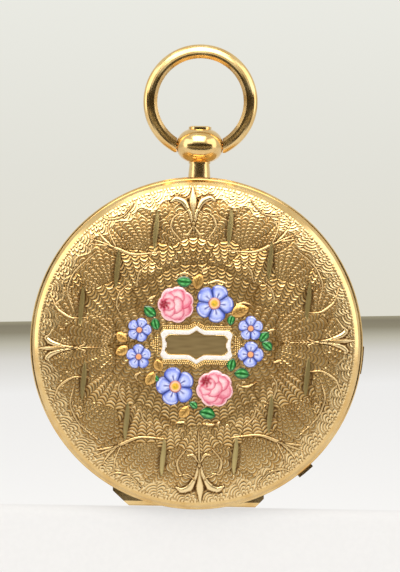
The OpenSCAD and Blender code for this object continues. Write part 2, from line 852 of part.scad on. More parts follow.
module click_spring() {
    color(steel) in_case() {
        link(spring_root, spring_tip, 0.2, bar_top + 0.02, bar_top + 0.24);
        post(spring_root, 0.45, bar_top + 0.02, bar_top + 0.24);
    }
}
spring_root = barrel_at + polar(4.6, 62);
spring_tip = barrel_at + polar(3.2, 38);

module centre_wheel() {
    color(gilt) in_case() difference() {
        union() {
            train_wheel([0, 0], centre_n, centre_m, 0, centre_z[0], centre_z[1]);
            toothed([0, 0], centre_leaves, barrel_m, centre_pinion_phase, -1.15, -0.35, 0.34);
            post([0, 0], 0.42, bar_top + 0.05, plate_back + 0.4);
        }
        post([0, 0], set_arbor_r + play, bar_top - over, plate_front);
    }
}

module third_wheel() {
    color(gilt) in_case() {
        train_wheel(third_at, third_n, third_m, 0, third_z[0], third_z[1]);
        toothed(third_at, third_leaves, centre_m, third_pinion_phase, -1.78, -1.4, 0.34);
        arbor(third_at, -0.2, -1.8);
    }
}

module fourth_wheel() {
    color(gilt) in_case() {
        train_wheel(fourth_at, fourth_n, fourth_m, 0, fourth_z[0], fourth_z[1]);
        toothed(fourth_at, fourth_leaves, third_m, fourth_pinion_phase, -1.25, -0.75, 0.34);
        arbor(fourth_at, -0.2, -1.8);
    }
}

// Escape wheel of the cylinder kind: each tooth stands out from the rim as a small wedge
module escape_wheel() {
    rim = escape_r - 0.55;
    color(steel) in_case() {
        translate([escape_at[0], escape_at[1], escape_z[0]])
            linear_extrude(height = escape_z[1] - escape_z[0]) polygon([
                for (i = [0:escape_n - 1], k = [0:3])
                    polar([rim, rim, escape_r - 0.15, escape_r][k], i * 24 + [0, 9, 9, 20][k])]);
        toothed(escape_at, escape_leaves, fourth_m, escape_pinion_phase, -0.52, -0.16, 0.34);
        arbor(escape_at, -0.15, -0.7, escape_bar_z[1]);
    }
}

module balance() {
    color(pale_gold) in_case() translate([balance_at[0], balance_at[1], 0]) {
        ring(balance_r, balance_r - 0.45, balance_z[0], balance_z[1]);
        for (a = [30, 150, 270])
            rotate([0, 0, a]) slab(0, balance_r - 0.4, -0.17, 0.17, balance_z[0], balance_z[0] + 0.16);
        post([0, 0], 0.6, balance_z[0] - 0.05, balance_z[0] + 0.16);
        post([0, 0], cylinder_r, plate_back - 0.1, hairspring_z);
        post([0, 0], pivot_hole_r - play, plate_back + 0.5, bar_under - 0.3);
    }
}

hairspring_z = -1.83;
module hairspring() {
    color(blue_steel) in_case() translate([balance_at[0], balance_at[1], hairspring_z])
        linear_extrude(height = 0.12) spiral(cylinder_r + 0.1, 1.9, 7, 0.06, 20);
}

// Motion work under the dial
set_arbor_r = 0.25;

cannon_leaves = 12;
minute_n = 36;
minute_leaves = 10;
hour_n = 40;
motion_reach = 2.6;
cannon_m = 2 * motion_reach / (cannon_leaves + minute_n);
hour_m = 2 * motion_reach / (minute_leaves + hour_n);
motion_dir = 250;
minute_at = polar(motion_reach, motion_dir);
cannon_pipe_r = 0.42;
hour_pipe_r = 0.72;
motion_floor = 0.45;
minute_phase = mesh_phase(0, cannon_leaves, minute_n, motion_dir);
hour_phase = mesh_phase(0, minute_leaves, hour_n, motion_dir + 180);

module cannon_pinion() {
    color(steel) in_case() {
        toothed([0, 0], cannon_leaves, cannon_m, 0, motion_floor + 0.05, 0.92, 0.36);
        post([0, 0], cannon_pipe_r, motion_floor + 0.05, minute_z + hand_t + 0.12);
        post([0, 0], set_arbor_r, bar_top, motion_floor + 0.1);
        squared([0, 0], bar_top - 0.02, square_top);
    }
}

module minute_wheel() {
    color(brass) in_case() difference() {
        union() {
            toothed(minute_at, minute_n, cannon_m, minute_phase, 0.55, 0.78, 0.4);
            toothed(minute_at, minute_leaves, hour_m, 0, 0.75, 1.32, 0.34);
        }
        post(minute_at, stud_r + play, 0.3, 2);
    }
}
stud_r = 0.2;

module hour_wheel() {
    color(brass) in_case() difference() {
        union() {
            toothed([0, 0], hour_n, hour_m, hour_phase, 1.02, 1.25, 0.4);
            post([0, 0], hour_pipe_r, 1.02, hour_z + hand_t + 0.05);
        }
        post([0, 0], cannon_pipe_r + play, 0.9, 5);
    }
}

// Plate, bridges and bars

centre_foot = polar(foot_r, 118);
third_foot = polar(foot_r, 178);
fourth_foot = polar(foot_r, 216);
escape_foot = polar(foot_r, 238);
cock_foot = polar(foot_r, 300);
barrel_feet = [polar(foot_r, 352), polar(foot_r, 76)];

module main_plate() {
    color(gilt) in_case() difference() {
        union() {
            post([0, 0], plate_r, plate_back, plate_front);
            post([0, 0], flange_r - 0.1, ledge_z, plate_front);
            post(minute_at, stud_r, motion_floor - over, 1.3);
        }
        difference() {
            union() {
                post([0, 0], 2.45, motion_floor, plate_front + over);
                post(minute_at, 2.3, motion_floor, plate_front + over);
            }
            post(minute_at, stud_r, motion_floor - 1, 1.3);
        }
        post(barrel_at, barrel_r + 0.3, plate_back - over, barrel_low + 0.1);
        post(barrel_at, barrel_arbor_r + play, plate_back - over, barrel_low + 0.45);
        post([0, 0], 0.42 + play, plate_back - over, plate_front + over);
        for (at = [third_at, fourth_at, escape_at, balance_at])
            post(at, jewel_r, plate_back - over, plate_back + 0.5);
        post(balance_at, balance_r + 0.3, plate_back - over, plate_back + 0.15);
        for (a = dial_feet)
            post(polar(dial_r - 1.6, a), 0.3, dial_z - 0.7, dial_z + over);
        for (a = case_screw_angles)
            post(polar(band_in - 0.55, a), screw_r, plate_back - over, plate_back + 0.9);
    }
}
jewel_r = 0.7;
jewel_depth = 0.35;
head_h = 0.3;

// A bar from its foot on the plate to the pivot that it holds
module bar(foot, at, under = bar_under, top = bar_top) {
    difference() {
        union() {
            link(foot, at, bar_w, under, top);
            post(foot, bar_w / 2, under - over, plate_back);
        }
        post(at, jewel_r, top - over, top + jewel_depth);
        post(at, pivot_hole_r, top - over, under + over);
        post(foot, screw_r, top - over, plate_back + over);
        post(foot, screw_head_r + play, top - over, top + head_h);
    }
}

module third_bar() {
    color(gilt) in_case() bar(third_foot, third_at);
}

module fourth_bar() {
    color(gilt) in_case() bar(fourth_foot, fourth_at);
}

module escape_bar() {
    color(gilt) in_case() bar(escape_foot, escape_at, escape_bar_z[0], escape_bar_z[1]);
}

module centre_bar() {
    color(gilt) in_case() difference() {
        union() {
            link(centre_foot, [0, 0], bar_w, bar_under, bar_top);
            post(centre_foot, bar_w / 2, bar_under - over, plate_back);
        }
        post([0, 0], 0.42 + play, bar_top - over, bar_under + over);
        post(centre_foot, screw_r, bar_top - over, plate_back + over);
        post(centre_foot, screw_head_r + play, bar_top - over, bar_top + head_h);
    }
}

module barrel_bridge() {
    color(gilt) in_case() difference() {
        union() {
            post(barrel_at, 4.2, bar_under, bar_top);
            for (foot = barrel_feet) {
                link(foot, barrel_at, bar_w + 0.8, bar_under, bar_top);
                post(foot, bar_w / 2 + 0.4, bar_under - over, plate_back);
            }
        }
        link(centre_foot, [0, 0], bar_w + 0.3, bar_under + over, bar_top - over);
        post([0, 0], bar_w / 2 + 1.1, bar_under + over, bar_top - over);
        post(barrel_at, ratchet_r + 0.1, bar_top - over, ratchet_floor);
        link(click_at, click_tip, 1.4, bar_top - over, ratchet_floor);
        link(spring_root, spring_tip, 1.3, bar_top - over, ratchet_floor);
        post(barrel_at, barrel_arbor_r + play, bar_top - over, bar_under + over);
        for (foot = barrel_feet) {
            post(foot, screw_r, bar_top - over, plate_back + over);
            post(foot, screw_head_r + play, bar_top - over, bar_top + head_h);
        }
    }
}

cock_top = bar_top + 0.25;
module balance_cock() {
    color(gilt) in_case() difference() {
        union() {
            link(cock_foot, balance_at, bar_w, bar_under, cock_top);
            post(cock_foot, bar_w / 2, bar_under - over, plate_back);
            post(balance_at, 0.55, cock_top - 0.2, cock_top);
        }
        post(balance_at, pivot_hole_r, cock_top - 1, bar_under + over);
        post(cock_foot, screw_r, cock_top - over, plate_back + over);
        post(cock_foot, screw_head_r + play, cock_top - over, cock_top + head_h);
    }
}

module regulator() {
    z0 = cock_top - 0.18;
    color(steel) in_case() difference() {
        union() {
            post(balance_at, 1, z0, cock_top - 0.02);
            link(balance_at, balance_at + polar(4.2, 60), 0.3, z0, cock_top - 0.02);
        }
        post(balance_at, 0.55 + play, z0 - over, cock_top + over);
    }
}

module end_piece() {
    color(steel) in_case() difference() {
        post(balance_at, 0.75, cock_top - 0.2, cock_top - 0.34);
        translate([balance_at[0], balance_at[1], cock_top - 0.34]) cylinder(r = 0.2, h = 0.06);
    }
}

module bridge_screws() {
    feet = concat([centre_foot, third_foot, fourth_foot], barrel_feet);
    color(blue_steel) in_case() {
        for (foot = feet)
            movement_screw(foot, bar_top);
        movement_screw(escape_foot, escape_bar_z[1]);
        movement_screw(cock_foot, cock_top);
    }
}

module movement_screw(at, top) {
    difference() {
        union() {
            post(at, screw_r, top, plate_back - 0.05);
            post(at, screw_head_r, top, top + head_h);
        }
        translate([at[0], at[1], top]) rotate([0, 0, atan2(at[1], at[0]) + 40])
            cube([3, 0.16, 0.24], center = true);
    }
}

module jewels() {
    color("#b0204a") in_case() {
        for (at = [third_at, fourth_at])
            jewel(at, bar_top + 0.08, bar_top + jewel_depth);
        jewel(escape_at, escape_bar_z[1] + 0.08, escape_bar_z[1] + jewel_depth);
        for (at = [third_at, fourth_at, escape_at])
            jewel(at, plate_back, plate_back + 0.5);
        jewel(balance_at, plate_back + 0.15, plate_back + 0.5);
    }
}

module jewel(at, z0, z1) {
    difference() {
        post(at, jewel_r, z0, z1);
        post(at, pivot_hole_r, min(z0, z1) - over, max(z0, z1) + over);
    }
}

module case_screws() {
    color(blue_steel) in_case() for (a = case_screw_angles) {
        post(polar(band_in - 0.55, a), screw_r, plate_back, plate_back + 0.9);
        post(polar(band_in - 0.55, a), screw_r + 0.45, plate_back - 0.3, plate_back);
    }
}

case_band();
pendant();
push_button();
lock_spring();
lift_spring();
spring_screws();
bow();
front_cover();
front_hinge_pin();
cartouche();
blue_flowers();
flower_hearts();
roses();
green_leaves();
gold_leaves();
back_cover();
back_hinge_pin();
cuvette();
bezel();
crystal();
dial();
hour_hand();
minute_hand();
cannon_pinion();
minute_wheel();
hour_wheel();
main_plate();
barrel_bridge();
centre_bar();
third_bar();
fourth_bar();
escape_bar();
balance_cock();
barrel();
mainspring();
winding_arbor();
ratchet_wheel();
click();
click_spring();
centre_wheel();
third_wheel();
fourth_wheel();
escape_wheel();
balance();
hairspring();
regulator();
end_piece();
bridge_screws();
jewels();
case_screws();
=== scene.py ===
import math

import bmesh
import bpy
import numpy as np
from mathutils import Matrix, Vector


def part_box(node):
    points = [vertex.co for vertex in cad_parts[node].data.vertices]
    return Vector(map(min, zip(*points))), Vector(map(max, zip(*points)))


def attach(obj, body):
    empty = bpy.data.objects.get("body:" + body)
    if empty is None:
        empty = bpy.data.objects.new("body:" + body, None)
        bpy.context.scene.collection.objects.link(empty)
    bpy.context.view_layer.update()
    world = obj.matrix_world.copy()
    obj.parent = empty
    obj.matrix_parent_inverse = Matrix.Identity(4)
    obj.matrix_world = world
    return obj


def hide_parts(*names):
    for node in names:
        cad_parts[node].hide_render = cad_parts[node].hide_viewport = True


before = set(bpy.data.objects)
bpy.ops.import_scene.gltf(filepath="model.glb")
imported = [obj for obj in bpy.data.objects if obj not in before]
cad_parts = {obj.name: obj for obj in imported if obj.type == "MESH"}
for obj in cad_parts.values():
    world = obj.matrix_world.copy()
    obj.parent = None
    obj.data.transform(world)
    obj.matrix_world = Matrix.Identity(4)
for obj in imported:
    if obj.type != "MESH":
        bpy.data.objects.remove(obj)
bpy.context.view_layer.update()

# Sizes are millimetres in the watch's own frame: x to 3 o'clock, y to 12 o'clock, z out of the front
# cover. The scene is in metres, with z up and the front cover towards -y.
mm = 0.001
watch = {
    "caseHeight": 19.0,   # centre of the case above its lowest point
    "flatRadius": 9.7,    # flat middle of either cover
    "domeRadius": 18.78,  # where the shoulder would stand upright
    "domeBase": 2.8,
    "domeRise": 2.9,
    "domePower": 2.8,
}
inCase = Matrix(((mm, 0, 0, 0), (0, 0, -mm, 0), (0, mm, 0, watch["caseHeight"] * mm), (0, 0, 0, 1)))
sharpAngle = math.radians(55)   # an edge turned more than this stays crisp


# Nodes and colours

def linear(hexColour):
    def channel(i):
        v = int(hexColour[i:i + 2], 16) / 255
        return v / 12.92 if v <= 0.04045 else ((v + 0.055) / 1.055) ** 2.4
    return (channel(1), channel(3), channel(5), 1.0)


def addNode(tree, kind, settings=None, links=None, stops=()):
    # Adds a node with values of its own and of its sockets, what feeds it, and the stops of a ramp.
    node = tree.nodes.new(kind)
    for name, value in (settings or {}).items():
        if isinstance(name, str) and hasattr(node, name):
            setattr(node, name, value)
    for name, value in (settings or {}).items():
        if isinstance(name, int) or not hasattr(node, name):
            node.inputs[name].default_value = value
    for name, source in (links or {}).items():
        tree.links.new(source, node.inputs[name])
    for i in range(2, len(stops)):
        node.color_ramp.elements.new(0.5)
    for i, (at, colour) in enumerate(stops):
        node.color_ramp.elements[i].position = at
        node.color_ramp.elements[i].color = linear(colour)
    return node


def newMaterial(name, **settings):
    material = bpy.data.materials.new(name)
    material.use_nodes = True
    tree = material.node_tree
    shader = tree.nodes["Principled BSDF"]
    for socket, value in settings.items():
        shader.inputs[socket.replace("_", " ")].default_value = value
    return material, tree, shader


def clouds(tree, size, detail=3.0):
    # Soft noise in the piece's own coordinates, in patches of a size in metres
    spot = addNode(tree, "ShaderNodeTexCoord").outputs["Object"]
    steps = addNode(tree, "ShaderNodeMapping", {"Scale": [1 / size] * 3}, {"Vector": spot}).outputs["Vector"]
    noise = addNode(tree, "ShaderNodeTexNoise", {"Scale": 1.0, "Detail": detail}, {"Vector": steps})
    return noise.outputs["Fac"]


def dress(tree, shader, colour, wear, roughness, grain, strength, depth):
    # Gives a surface its colour, a roughness between two values that follows the wear, and a fine grain.
    low, high = roughness
    rough = addNode(tree, "ShaderNodeMapRange", {"To Min": low, "To Max": high}, {"Value": wear})
    bump = addNode(tree, "ShaderNodeBump", {"Strength": strength, "Distance": depth},
                   {"Height": clouds(tree, grain)})
    for source, socket in ((colour, "Base Color"), (rough.outputs["Result"], "Roughness"),
                           (bump.outputs["Normal"], "Normal")):
        tree.links.new(source, shader.inputs[socket])


def finish(name, colours, roughness, cloud, grain, bump, **settings):
    # A finish of two shades in soft clouds, with a fine grain: cloud and grain are sizes in metres.
    material, tree, shader = newMaterial(name, **settings)
    wear = clouds(tree, cloud, 4.0)
    shades = addNode(tree, "ShaderNodeValToRGB", None, {"Fac": wear}, [(0.3, colours[0]), (0.68, colours[1])])
    dress(tree, shader, shades.outputs["Color"], wear, roughness, grain, *bump)
    return material


# Materials

metals = {  # name, two shades, roughness, sizes of clouds and grain, strength and depth of the grain
    # 18 carat gold, worked by hand and polished: warm, mirror-like, with hairline wear
    "gold": ("polished 18 carat gold", ("#d7b070", "#e6c88f"), (0.1, 0.24), 0.0018, 0.00012, (0.05, 2e-5)),
    # the same gold inside the covers, scratched by keys and thumbs
    "gold inside": ("satin 18 carat gold", ("#d6a75f", "#ecc986"), (0.2, 0.34), 0.003, 0.00016, (0.1, 2e-5)),
    # mercury-gilt brass, frosted by scratch brushing: soft yellow with a fine even grain
    "gilt": ("frosted gilt brass", ("#cf9f4e", "#e7bd70"), (0.32, 0.45), 0.0014, 0.00009, (0.35, 2e-5)),
    # brass wheels, gilt and lightly polished
    "wheel": ("polished gilt brass", ("#c9963f", "#e6bb66"), (0.18, 0.3), 0.0008, 0.00008, (0.08, 1e-5)),
    # hardened and polished steel
    "steel": ("polished steel", ("#a9abad", "#cfd1d3"), (0.16, 0.28), 0.0009, 0.00008, (0.06, 1e-5)),
    # steel blued by heat: a deep oxide blue with violet edges
    "blue steel": ("heat blued steel", ("#1b2a6e", "#3350b4"), (0.14, 0.26), 0.0007, 0.00008, (0.04, 1e-5)),
}
# coloured enamel of the CAD flowers and leaves, fired and glossy: two shades and the size of the clouds
enamels = {
    "blue": (("#6d80d6", "#8b9ae0"), 0.0012),
    "yellow": (("#d9a93a", "#e6bd57"), 0.0008),
    "pink": (("#dc8296", "#eebfc9"), 0.0012),
    "green": (("#14752c", "#2c8f45"), 0.0008),
}
finishes = {name: finish(*values, Metallic=1.0) for name, values in metals.items()}
for colour, (shades, cloud) in enamels.items():
    finishes[f"{colour} enamel"] = finish(f"fired {colour} enamel", shades, (0.1, 0.2), cloud, 0.0003,
                                          (0.05, 2e-5), IOR=1.5)
# jewels of clear deep red, polished like glass
finishes["ruby"] = finish("polished ruby", ("#8c0f2c", "#c22a4c"), (0.04, 0.1), 0.0005, 0.0001, (0.02, 1e-5),
                          IOR=1.76, Coat_Weight=0.6)
# black enamel figures, fired into the dial
finishes["figures"] = finish("fired black enamel", ("#15161c", "#23252e"), (0.15, 0.25), 0.0008, 0.0002,
                             (0.05, 1e-5), IOR=1.5)
# vitreous white enamel, fired on copper: milky and glossy, with faint unevenness
finishes["dial"] = finish("fired white dial enamel", ("#efece4", "#f8f5ee"), (0.08, 0.16), 0.004, 0.0009,
                          (0.03, 5e-5), IOR=1.53, Coat_Weight=0.5)


def crystalGlass():
    # Blown and ground crown glass: clear, with a slight waviness
    material, tree, shader = newMaterial("clear crown glass", IOR=1.5, Transmission_Weight=1.0,
                                         Roughness=0.02)
    wave = addNode(tree, "ShaderNodeBump", {"Strength": 0.03, "Distance": 2e-5},
                   {"Height": clouds(tree, 0.004)})
    tint = addNode(tree, "ShaderNodeValToRGB", None, {"Fac": clouds(tree, 0.006)},
                   [(0.3, "#f4f8f7"), (0.7, "#ffffff")])
    tree.links.new(wave.outputs["Normal"], shader.inputs["Normal"])
    tree.links.new(tint.outputs["Color"], shader.inputs["Base Color"])
    return material


finishes["glass"] = crystalGlass()

engravedLook = {
    # the first colour is a painted highlight on the polished crests; the colour of the cuts is partly tarnish
    # and partly painted shade
    "paintedGlint": "#ffeab8",
    "middle": ("#cc9d57", "#e3ba74"),
    "cut": "#604325",
    "spindleReflection": "#c6b67c",  # painted reflection: the long polished cuts look greenish beside the gold
    "clouds": 0.0022,      # metres
    "grain": 0.00014,
    "roughness": (0.4, 0.24),   # in the cuts, and where it is polished
    "bump": (0.12, 3e-5),
}
# the raised leaves have their own painted highlight, cut colour and painted greenish reflection
leafLook = dict(engravedLook, paintedGlint="#ffe09c", middle=("#dea24c", "#f0bd66"), cut="#6b3a12",
                spindleReflection="#c4b184")


def engravedGold(name, look):
    # Gold cut by hand with a graver: polished facets side by side, with old polish, a painted highlight where
    # polished, and in the cuts a darker colour that is partly tarnish and partly painted shade.
    material, tree, shader = newMaterial(name, Metallic=1.0)
    work = addNode(tree, "ShaderNodeAttribute", {"attribute_name": "work"})
    parts = addNode(tree, "ShaderNodeSeparateColor", links={"Color": work.outputs["Color"]})
    base = addNode(tree, "ShaderNodeValToRGB", None, {"Fac": clouds(tree, look["clouds"], 4.0)},
                   [(0.3, look["middle"][0]), (0.65, look["middle"][1])]).outputs["Color"]
    for part, colour in (("Green", "paintedGlint"), ("Blue", "spindleReflection"), ("Red", "cut")):
        base = addNode(tree, "ShaderNodeMix", {"data_type": "RGBA", 7: linear(look[colour])},
                       {0: parts.outputs[part], 6: base}).outputs[2]
    dress(tree, shader, base, parts.outputs["Green"], look["roughness"], look["grain"], *look["bump"])
    return material


finishes["engraved"] = engravedGold("hand engraved 18 carat gold", engravedLook)
# deeper yellow gold of the raised leaves and borders
finishes["leaf gold"] = engravedGold("raised and cut 18 carat gold", leafLook)

nodeFinish = {
    "gold": ("case_band", "pendant", "push_button", "bow", "front_cover", "back_cover", "front_hinge_pin",
             "back_hinge_pin", "bezel", "gold_leaves"),
    "gold inside": ("cuvette",),
    "gilt": ("main_plate", "barrel_bridge", "centre_bar", "third_bar", "fourth_bar", "escape_bar",
             "balance_cock"),
    "wheel": ("barrel", "centre_wheel", "third_wheel", "fourth_wheel", "hour_wheel", "minute_wheel",
              "balance"),
    "steel": ("lock_spring", "lift_spring", "winding_arbor", "ratchet_wheel", "click", "click_spring",
              "cannon_pinion", "escape_wheel", "regulator", "end_piece"),
    "blue steel": ("spring_screws", "bridge_screws", "case_screws", "hour_hand", "minute_hand", "mainspring",
                   "hairspring"),
    "ruby": ("jewels",),
    "dial": ("dial", "cartouche"),
    "blue enamel": ("blue_flowers",),
    "yellow enamel": ("flower_hearts",),
    "pink enamel": ("roses",),
    "green enamel": ("green_leaves",),
    "glass": ("crystal",),
}
for finishName, nodeNames in nodeFinish.items():
    for nodeName in nodeNames:
        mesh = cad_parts[nodeName].data
        mesh.materials.clear()
        mesh.materials.append(finishes[finishName])
print("materials on the CAD nodes")


# Pieces

def newObject(name, data):
    made = bpy.data.objects.new(name, data)
    bpy.context.scene.collection.objects.link(made)
    return made


def newMesh(name, bm):
    mesh = bpy.data.meshes.new(name)
    bm.to_mesh(mesh)
    bm.free()
    return mesh


def placePiece(mesh, body, material, replaces=(), smooth=True):
    # Makes a finished mesh a piece: on its body, with its finish.
    mesh.materials.append(material)
    if smooth:
        mesh.shade_smooth()
        mesh.set_sharp_from_angle(angle=sharpAngle)
    else:
        mesh.shade_flat()
    piece = newObject(mesh.name, mesh)
    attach(piece, body)
    if replaces:
        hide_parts(*replaces)


# Engraving of the covers

def domeHeight(r):
    power = watch["domePower"]
    out = np.clip(1 - (r / watch["domeRadius"]) ** power, 0, 1)
    return watch["domeBase"] + watch["domeRise"] * out ** (1 / power)


# the dome's curve, closer spaced at its steep edge, and the length along it
profileR = np.concatenate([np.linspace(0, 17, 400), np.linspace(17.01, 18.7, 800)])
profileZ = domeHeight(profileR)
profileArc = np.concatenate([[0], np.cumsum(np.hypot(np.diff(profileR), np.diff(profileZ)))])


def turned(x, y, angle):  # places measured along sides that are turned by an angle in degrees
    c, s = math.cos(math.radians(angle)), math.sin(math.radians(angle))
    return x * c + y * s, y * c - x * s


def hashed(a, b, seed):  # a steady random number for each pair of whole numbers
    v = np.sin(a * 127.1 + b * 311.7 + seed * 74.7) * 43758.5453
    return v - np.floor(v)


def wander(x, y, size, seed):  # smooth noise, -1 to 1
    total = 0
    for k in range(3):
        a = seed * 1.7 + k * 2.1
        total = total + np.sin((x * math.cos(a) + y * math.sin(a)) / size * 2.3 + seed * 3 + k)
        total = total + np.sin((y * math.cos(a * 2.3) - x * math.sin(a * 1.3)) / size * 1.7 + seed + 2 * k)
    return total / 6


def pulse(x, middle, wide):  # 1 at the middle, falling softly to 0
    return np.exp(-((x - middle) / wide) ** 2)


def smooth(x, low, high):  # 0 below low, 1 above high and soft between
    t = np.clip((x - low) / (high - low), 0, 1)
    return t * t * (3 - 2 * t)


# Fans of scales in one quadrant: middle (x, y), half sizes along and across, lean in degrees, the point the
# columns run from, and which way the scales bulge.
scaleFans = [
    (2.1, 13.4, 2.1, 2.2, 0, 0.4, 11.2, 1), (6.9, 13.2, 2.6, 1.9, 20, 5.0, 10.4, 1),
    (11.7, 9.0, 2.6, 2.2, -40, 9.2, 6.2, 1), (5.9, 8.7, 2.8, 1.9, 10, 5.6, 4.6, -1),
    (15.3, 5.0, 1.5, 2.6, -15, 13.6, 2.2, 1), (9.6, 5.2, 2.6, 1.7, 0, 7.6, 1.6, -1),
    (11.8, 2.2, 3.0, 1.3, 5, 8.0, 0.2, 1), (16.3, 1.5, 1.6, 1.2, 0, 13.6, 0.1, 1),
    (0.9, 11.0, 1.6, 1.4, 0, 0.0, 8.6, -1), (3.4, 10.3, 1.7, 1.4, 30, 3.4, 7.6, -1),
    (9.7, 11.9, 1.7, 1.5, 40, 7.2, 9.6, 1), (4.4, 15.4, 2.0, 1.1, 15, 2.6, 12.6, 1),
    (13.9, 7.6, 1.4, 1.4, -30, 12.2, 5.2, -1), (2.6, 6.2, 3.6, 2.4, 0, 2.0, -1.0, -1),
    (7.3, 2.4, 1.9, 1.8, 0, 5.2, -2.2, 1), (2.6, 1.6, 4.6, 2.6, 0, 2.0, -9.0, 1),
]
# Raised stems in one quadrant: points, then half width at the start, middle and end
stems = [
    ([(3.7, 10.6), (6.9, 10.3), (9.4, 11.4), (11.6, 11.7)], (0.05, 0.15, 0.06)),
    ([(9.4, 11.4), (10.4, 12.4), (11.0, 13.4)], (0.13, 0.1, 0.04)),
    ([(9.1, 11.3), (10.9, 12.0), (12.0, 12.4)], (0.08, 0.07, 0.04)),
    ([(8.9, 11.4), (9.6, 12.9), (9.7, 14.2)], (0.06, 0.07, 0.04)),
    ([(1.4, 11.8), (2.6, 13.2), (2.2, 14.6), (0.9, 15.2)], (0.04, 0.12, 0.05)),
    ([(11.0, 10.9), (13.6, 8.7), (14.6, 6.4), (13.9, 4.2)], (0.05, 0.11, 0.04)),
    ([(7.4, 7.2), (8.6, 6.2), (9.0, 4.6), (8.4, 3.6)], (0.05, 0.1, 0.04)),
    ([(12.2, 3.4), (14.2, 3.3), (15.8, 4.4), (16.4, 6.2)], (0.05, 0.11, 0.05)),
    ([(6.6, 16.1), (7.9, 14.6), (9.6, 14.3), (10.8, 14.9)], (0.05, 0.11, 0.05)),
    ([(4.9, 9.6), (6.3, 8.4), (6.6, 7.0)], (0.04, 0.09, 0.04)),
]
# Bright curled cuts that run out of the wreath
tendrils = [
    [(0.4, 8.2), (0.8, 8.6), (1.4, 8.8)], [(1.2, 7.0), (2.2, 7.35), (3.3, 7.0)],
    [(4.4, 4.6), (5.3, 4.9), (6.2, 4.6)], [(-2.7, 7.7), (-1.5, 8.2), (-0.5, 7.8)],
    [(-9.4, 0.9), (-8.7, 1.3), (-7.9, 1.0)], [(8.1, 1.7), (9.0, 2.0)],
    [(0.8, -8.9), (1.8, -9.1), (2.8, -8.8)], [(4.9, -4.6), (5.9, -4.7), (6.9, -4.1)],
    [(-2.2, -8.9), (-1.2, -8.8)], [(-6.3, -3.2), (-6.9, -3.6), (-6.6, -4.2)],
    [(8.7, -1.9), (9.6, -1.6)], [(-5.6, 5.0), (-4.7, 5.5)],
]
# Length of the stem and breadth of the lily at each quarter
lilies = [(12.4, 0.85), (10.6, 0.5), (9.6, 0.9), (10.6, 0.5)]
# Middles of the long upright cuts
spindles = [(-4.8, 12.9), (3.6, 13.4), (-9.1, 8.5), (8.2, 9.7), (-13.1, 4.2), (12.6, 5.1),
            (-12.75, -4.3), (12.6, -3.4), (-7.8, -8.8), (8.5, -7.7), (-3.6, -12.9), (4.6, -12.6)]
engraving = {
    "columnWidth": 0.78,    # of the scales
    "rowPitch": 0.42,
    "scaleDepth": 0.052,
    "fanSwell": 0.06,       # each fan swells towards its middle
    "seamWidth": 0.12,
    "strays": (0.35, 0.12), # how far the rows wander, in wide and in narrow waves
    "fieldRadius": 17.98,   # the engraving ends here
    "borderRadius": 16.35,  # the border of shells begins here
    "borderFans": 34,       # shells in the border
    "borderMiddle": 17.3,
    "shellFoot": 18.2,      # the radius the shells grow from
    "hatchRadius": 17.74,   # the short cuts along the rim begin here
    "rimCuts": 300,
    "proud": 0.12,          # how far the field's base stands over the plain dome
    "under": -0.2,          # how far its underside lies below it
    "turned": 2.3,          # degrees the whole pattern stands off the upright
    "spindleLength": 2.2,   # half of it
    "spindleWidth": 0.31,
    "panelRoom": (3.9, 1.45, 1.9),   # kept low under the cartouche: half its width, height and point
    "middleSteps": (230, 230),       # steps of the mesh across and along
    "sectorSteps": (270, 150),
}


def scalePattern(along, across, bulge, seed):
    # Columns of overlapping scales; each rises slowly to a crest with a painted highlight and ends in a steep
    # cut darkened by tarnish and painted shade.
    column = np.floor(across)
    side = across - column - 0.5
    jitter = hashed(column, seed, 3.0)
    row = along / engraving["rowPitch"] + jitter + bulge * 3.4 * side * side
    number = np.floor(row)
    part = row - number
    if bulge < 0:
        part = 1 - part
    deep = 0.55 + 0.9 * hashed(number, column, seed)
    rise = np.clip(part / 0.78, 0, 1) ** 1.6 * np.clip((1 - part) / 0.14, 0, 1)
    edge = np.clip((0.5 - np.abs(side)) / 0.13, 0, 1)
    height = engraving["scaleDepth"] * deep * (rise * (0.3 + 0.7 * edge) - 0.35)
    # crest is a painted highlight; dark is painted shade and tarnish in the steep cut and between the columns
    crest = pulse(part, 0.74, 0.17) * edge * np.clip(deep, 0, 1.15)
    dark = (pulse(part, 0.98, 0.13) + pulse(part, -0.02, 0.16)) * (0.5 + 0.5 * edge) + (1 - edge) * 0.45
    return height, np.clip(dark, 0, 1), np.clip(crest, 0, 1)


def strokeField(x, y, points, widths):
    # For a curved stroke: how far from its middle line each point lies, in half widths.
    corners = np.linspace(0, 1, len(points))
    steps = np.linspace(0, 1, 6 * (len(points) - 1) + 1)
    curve = np.stack([np.interp(steps, corners, line) for line in zip(*points)], 1)
    for _ in range(3):
        curve[1:-1] = (curve[:-2] + 2 * curve[1:-1] + curve[2:]) / 4
    best = np.full(x.shape, 9.0)
    reach = max(widths) * 4
    near = ((x > curve[:, 0].min() - reach) & (x < curve[:, 0].max() + reach)
            & (y > curve[:, 1].min() - reach) & (y < curve[:, 1].max() + reach))
    px, py, nearest = x[near], y[near], best[near]
    for i in range(len(curve) - 1):
        ax, ay = curve[i]
        dx, dy = curve[i + 1] - curve[i]
        t = np.clip(((px - ax) * dx + (py - ay) * dy) / (dx * dx + dy * dy), 0, 1)
        along = steps[i] + t * (steps[i + 1] - steps[i])
        wide = np.interp(along, np.linspace(0, 1, len(widths)), widths)
        nearest = np.minimum(nearest, np.hypot(px - ax - t * dx, py - ay - t * dy) / wide)
    best[near] = nearest
    return best


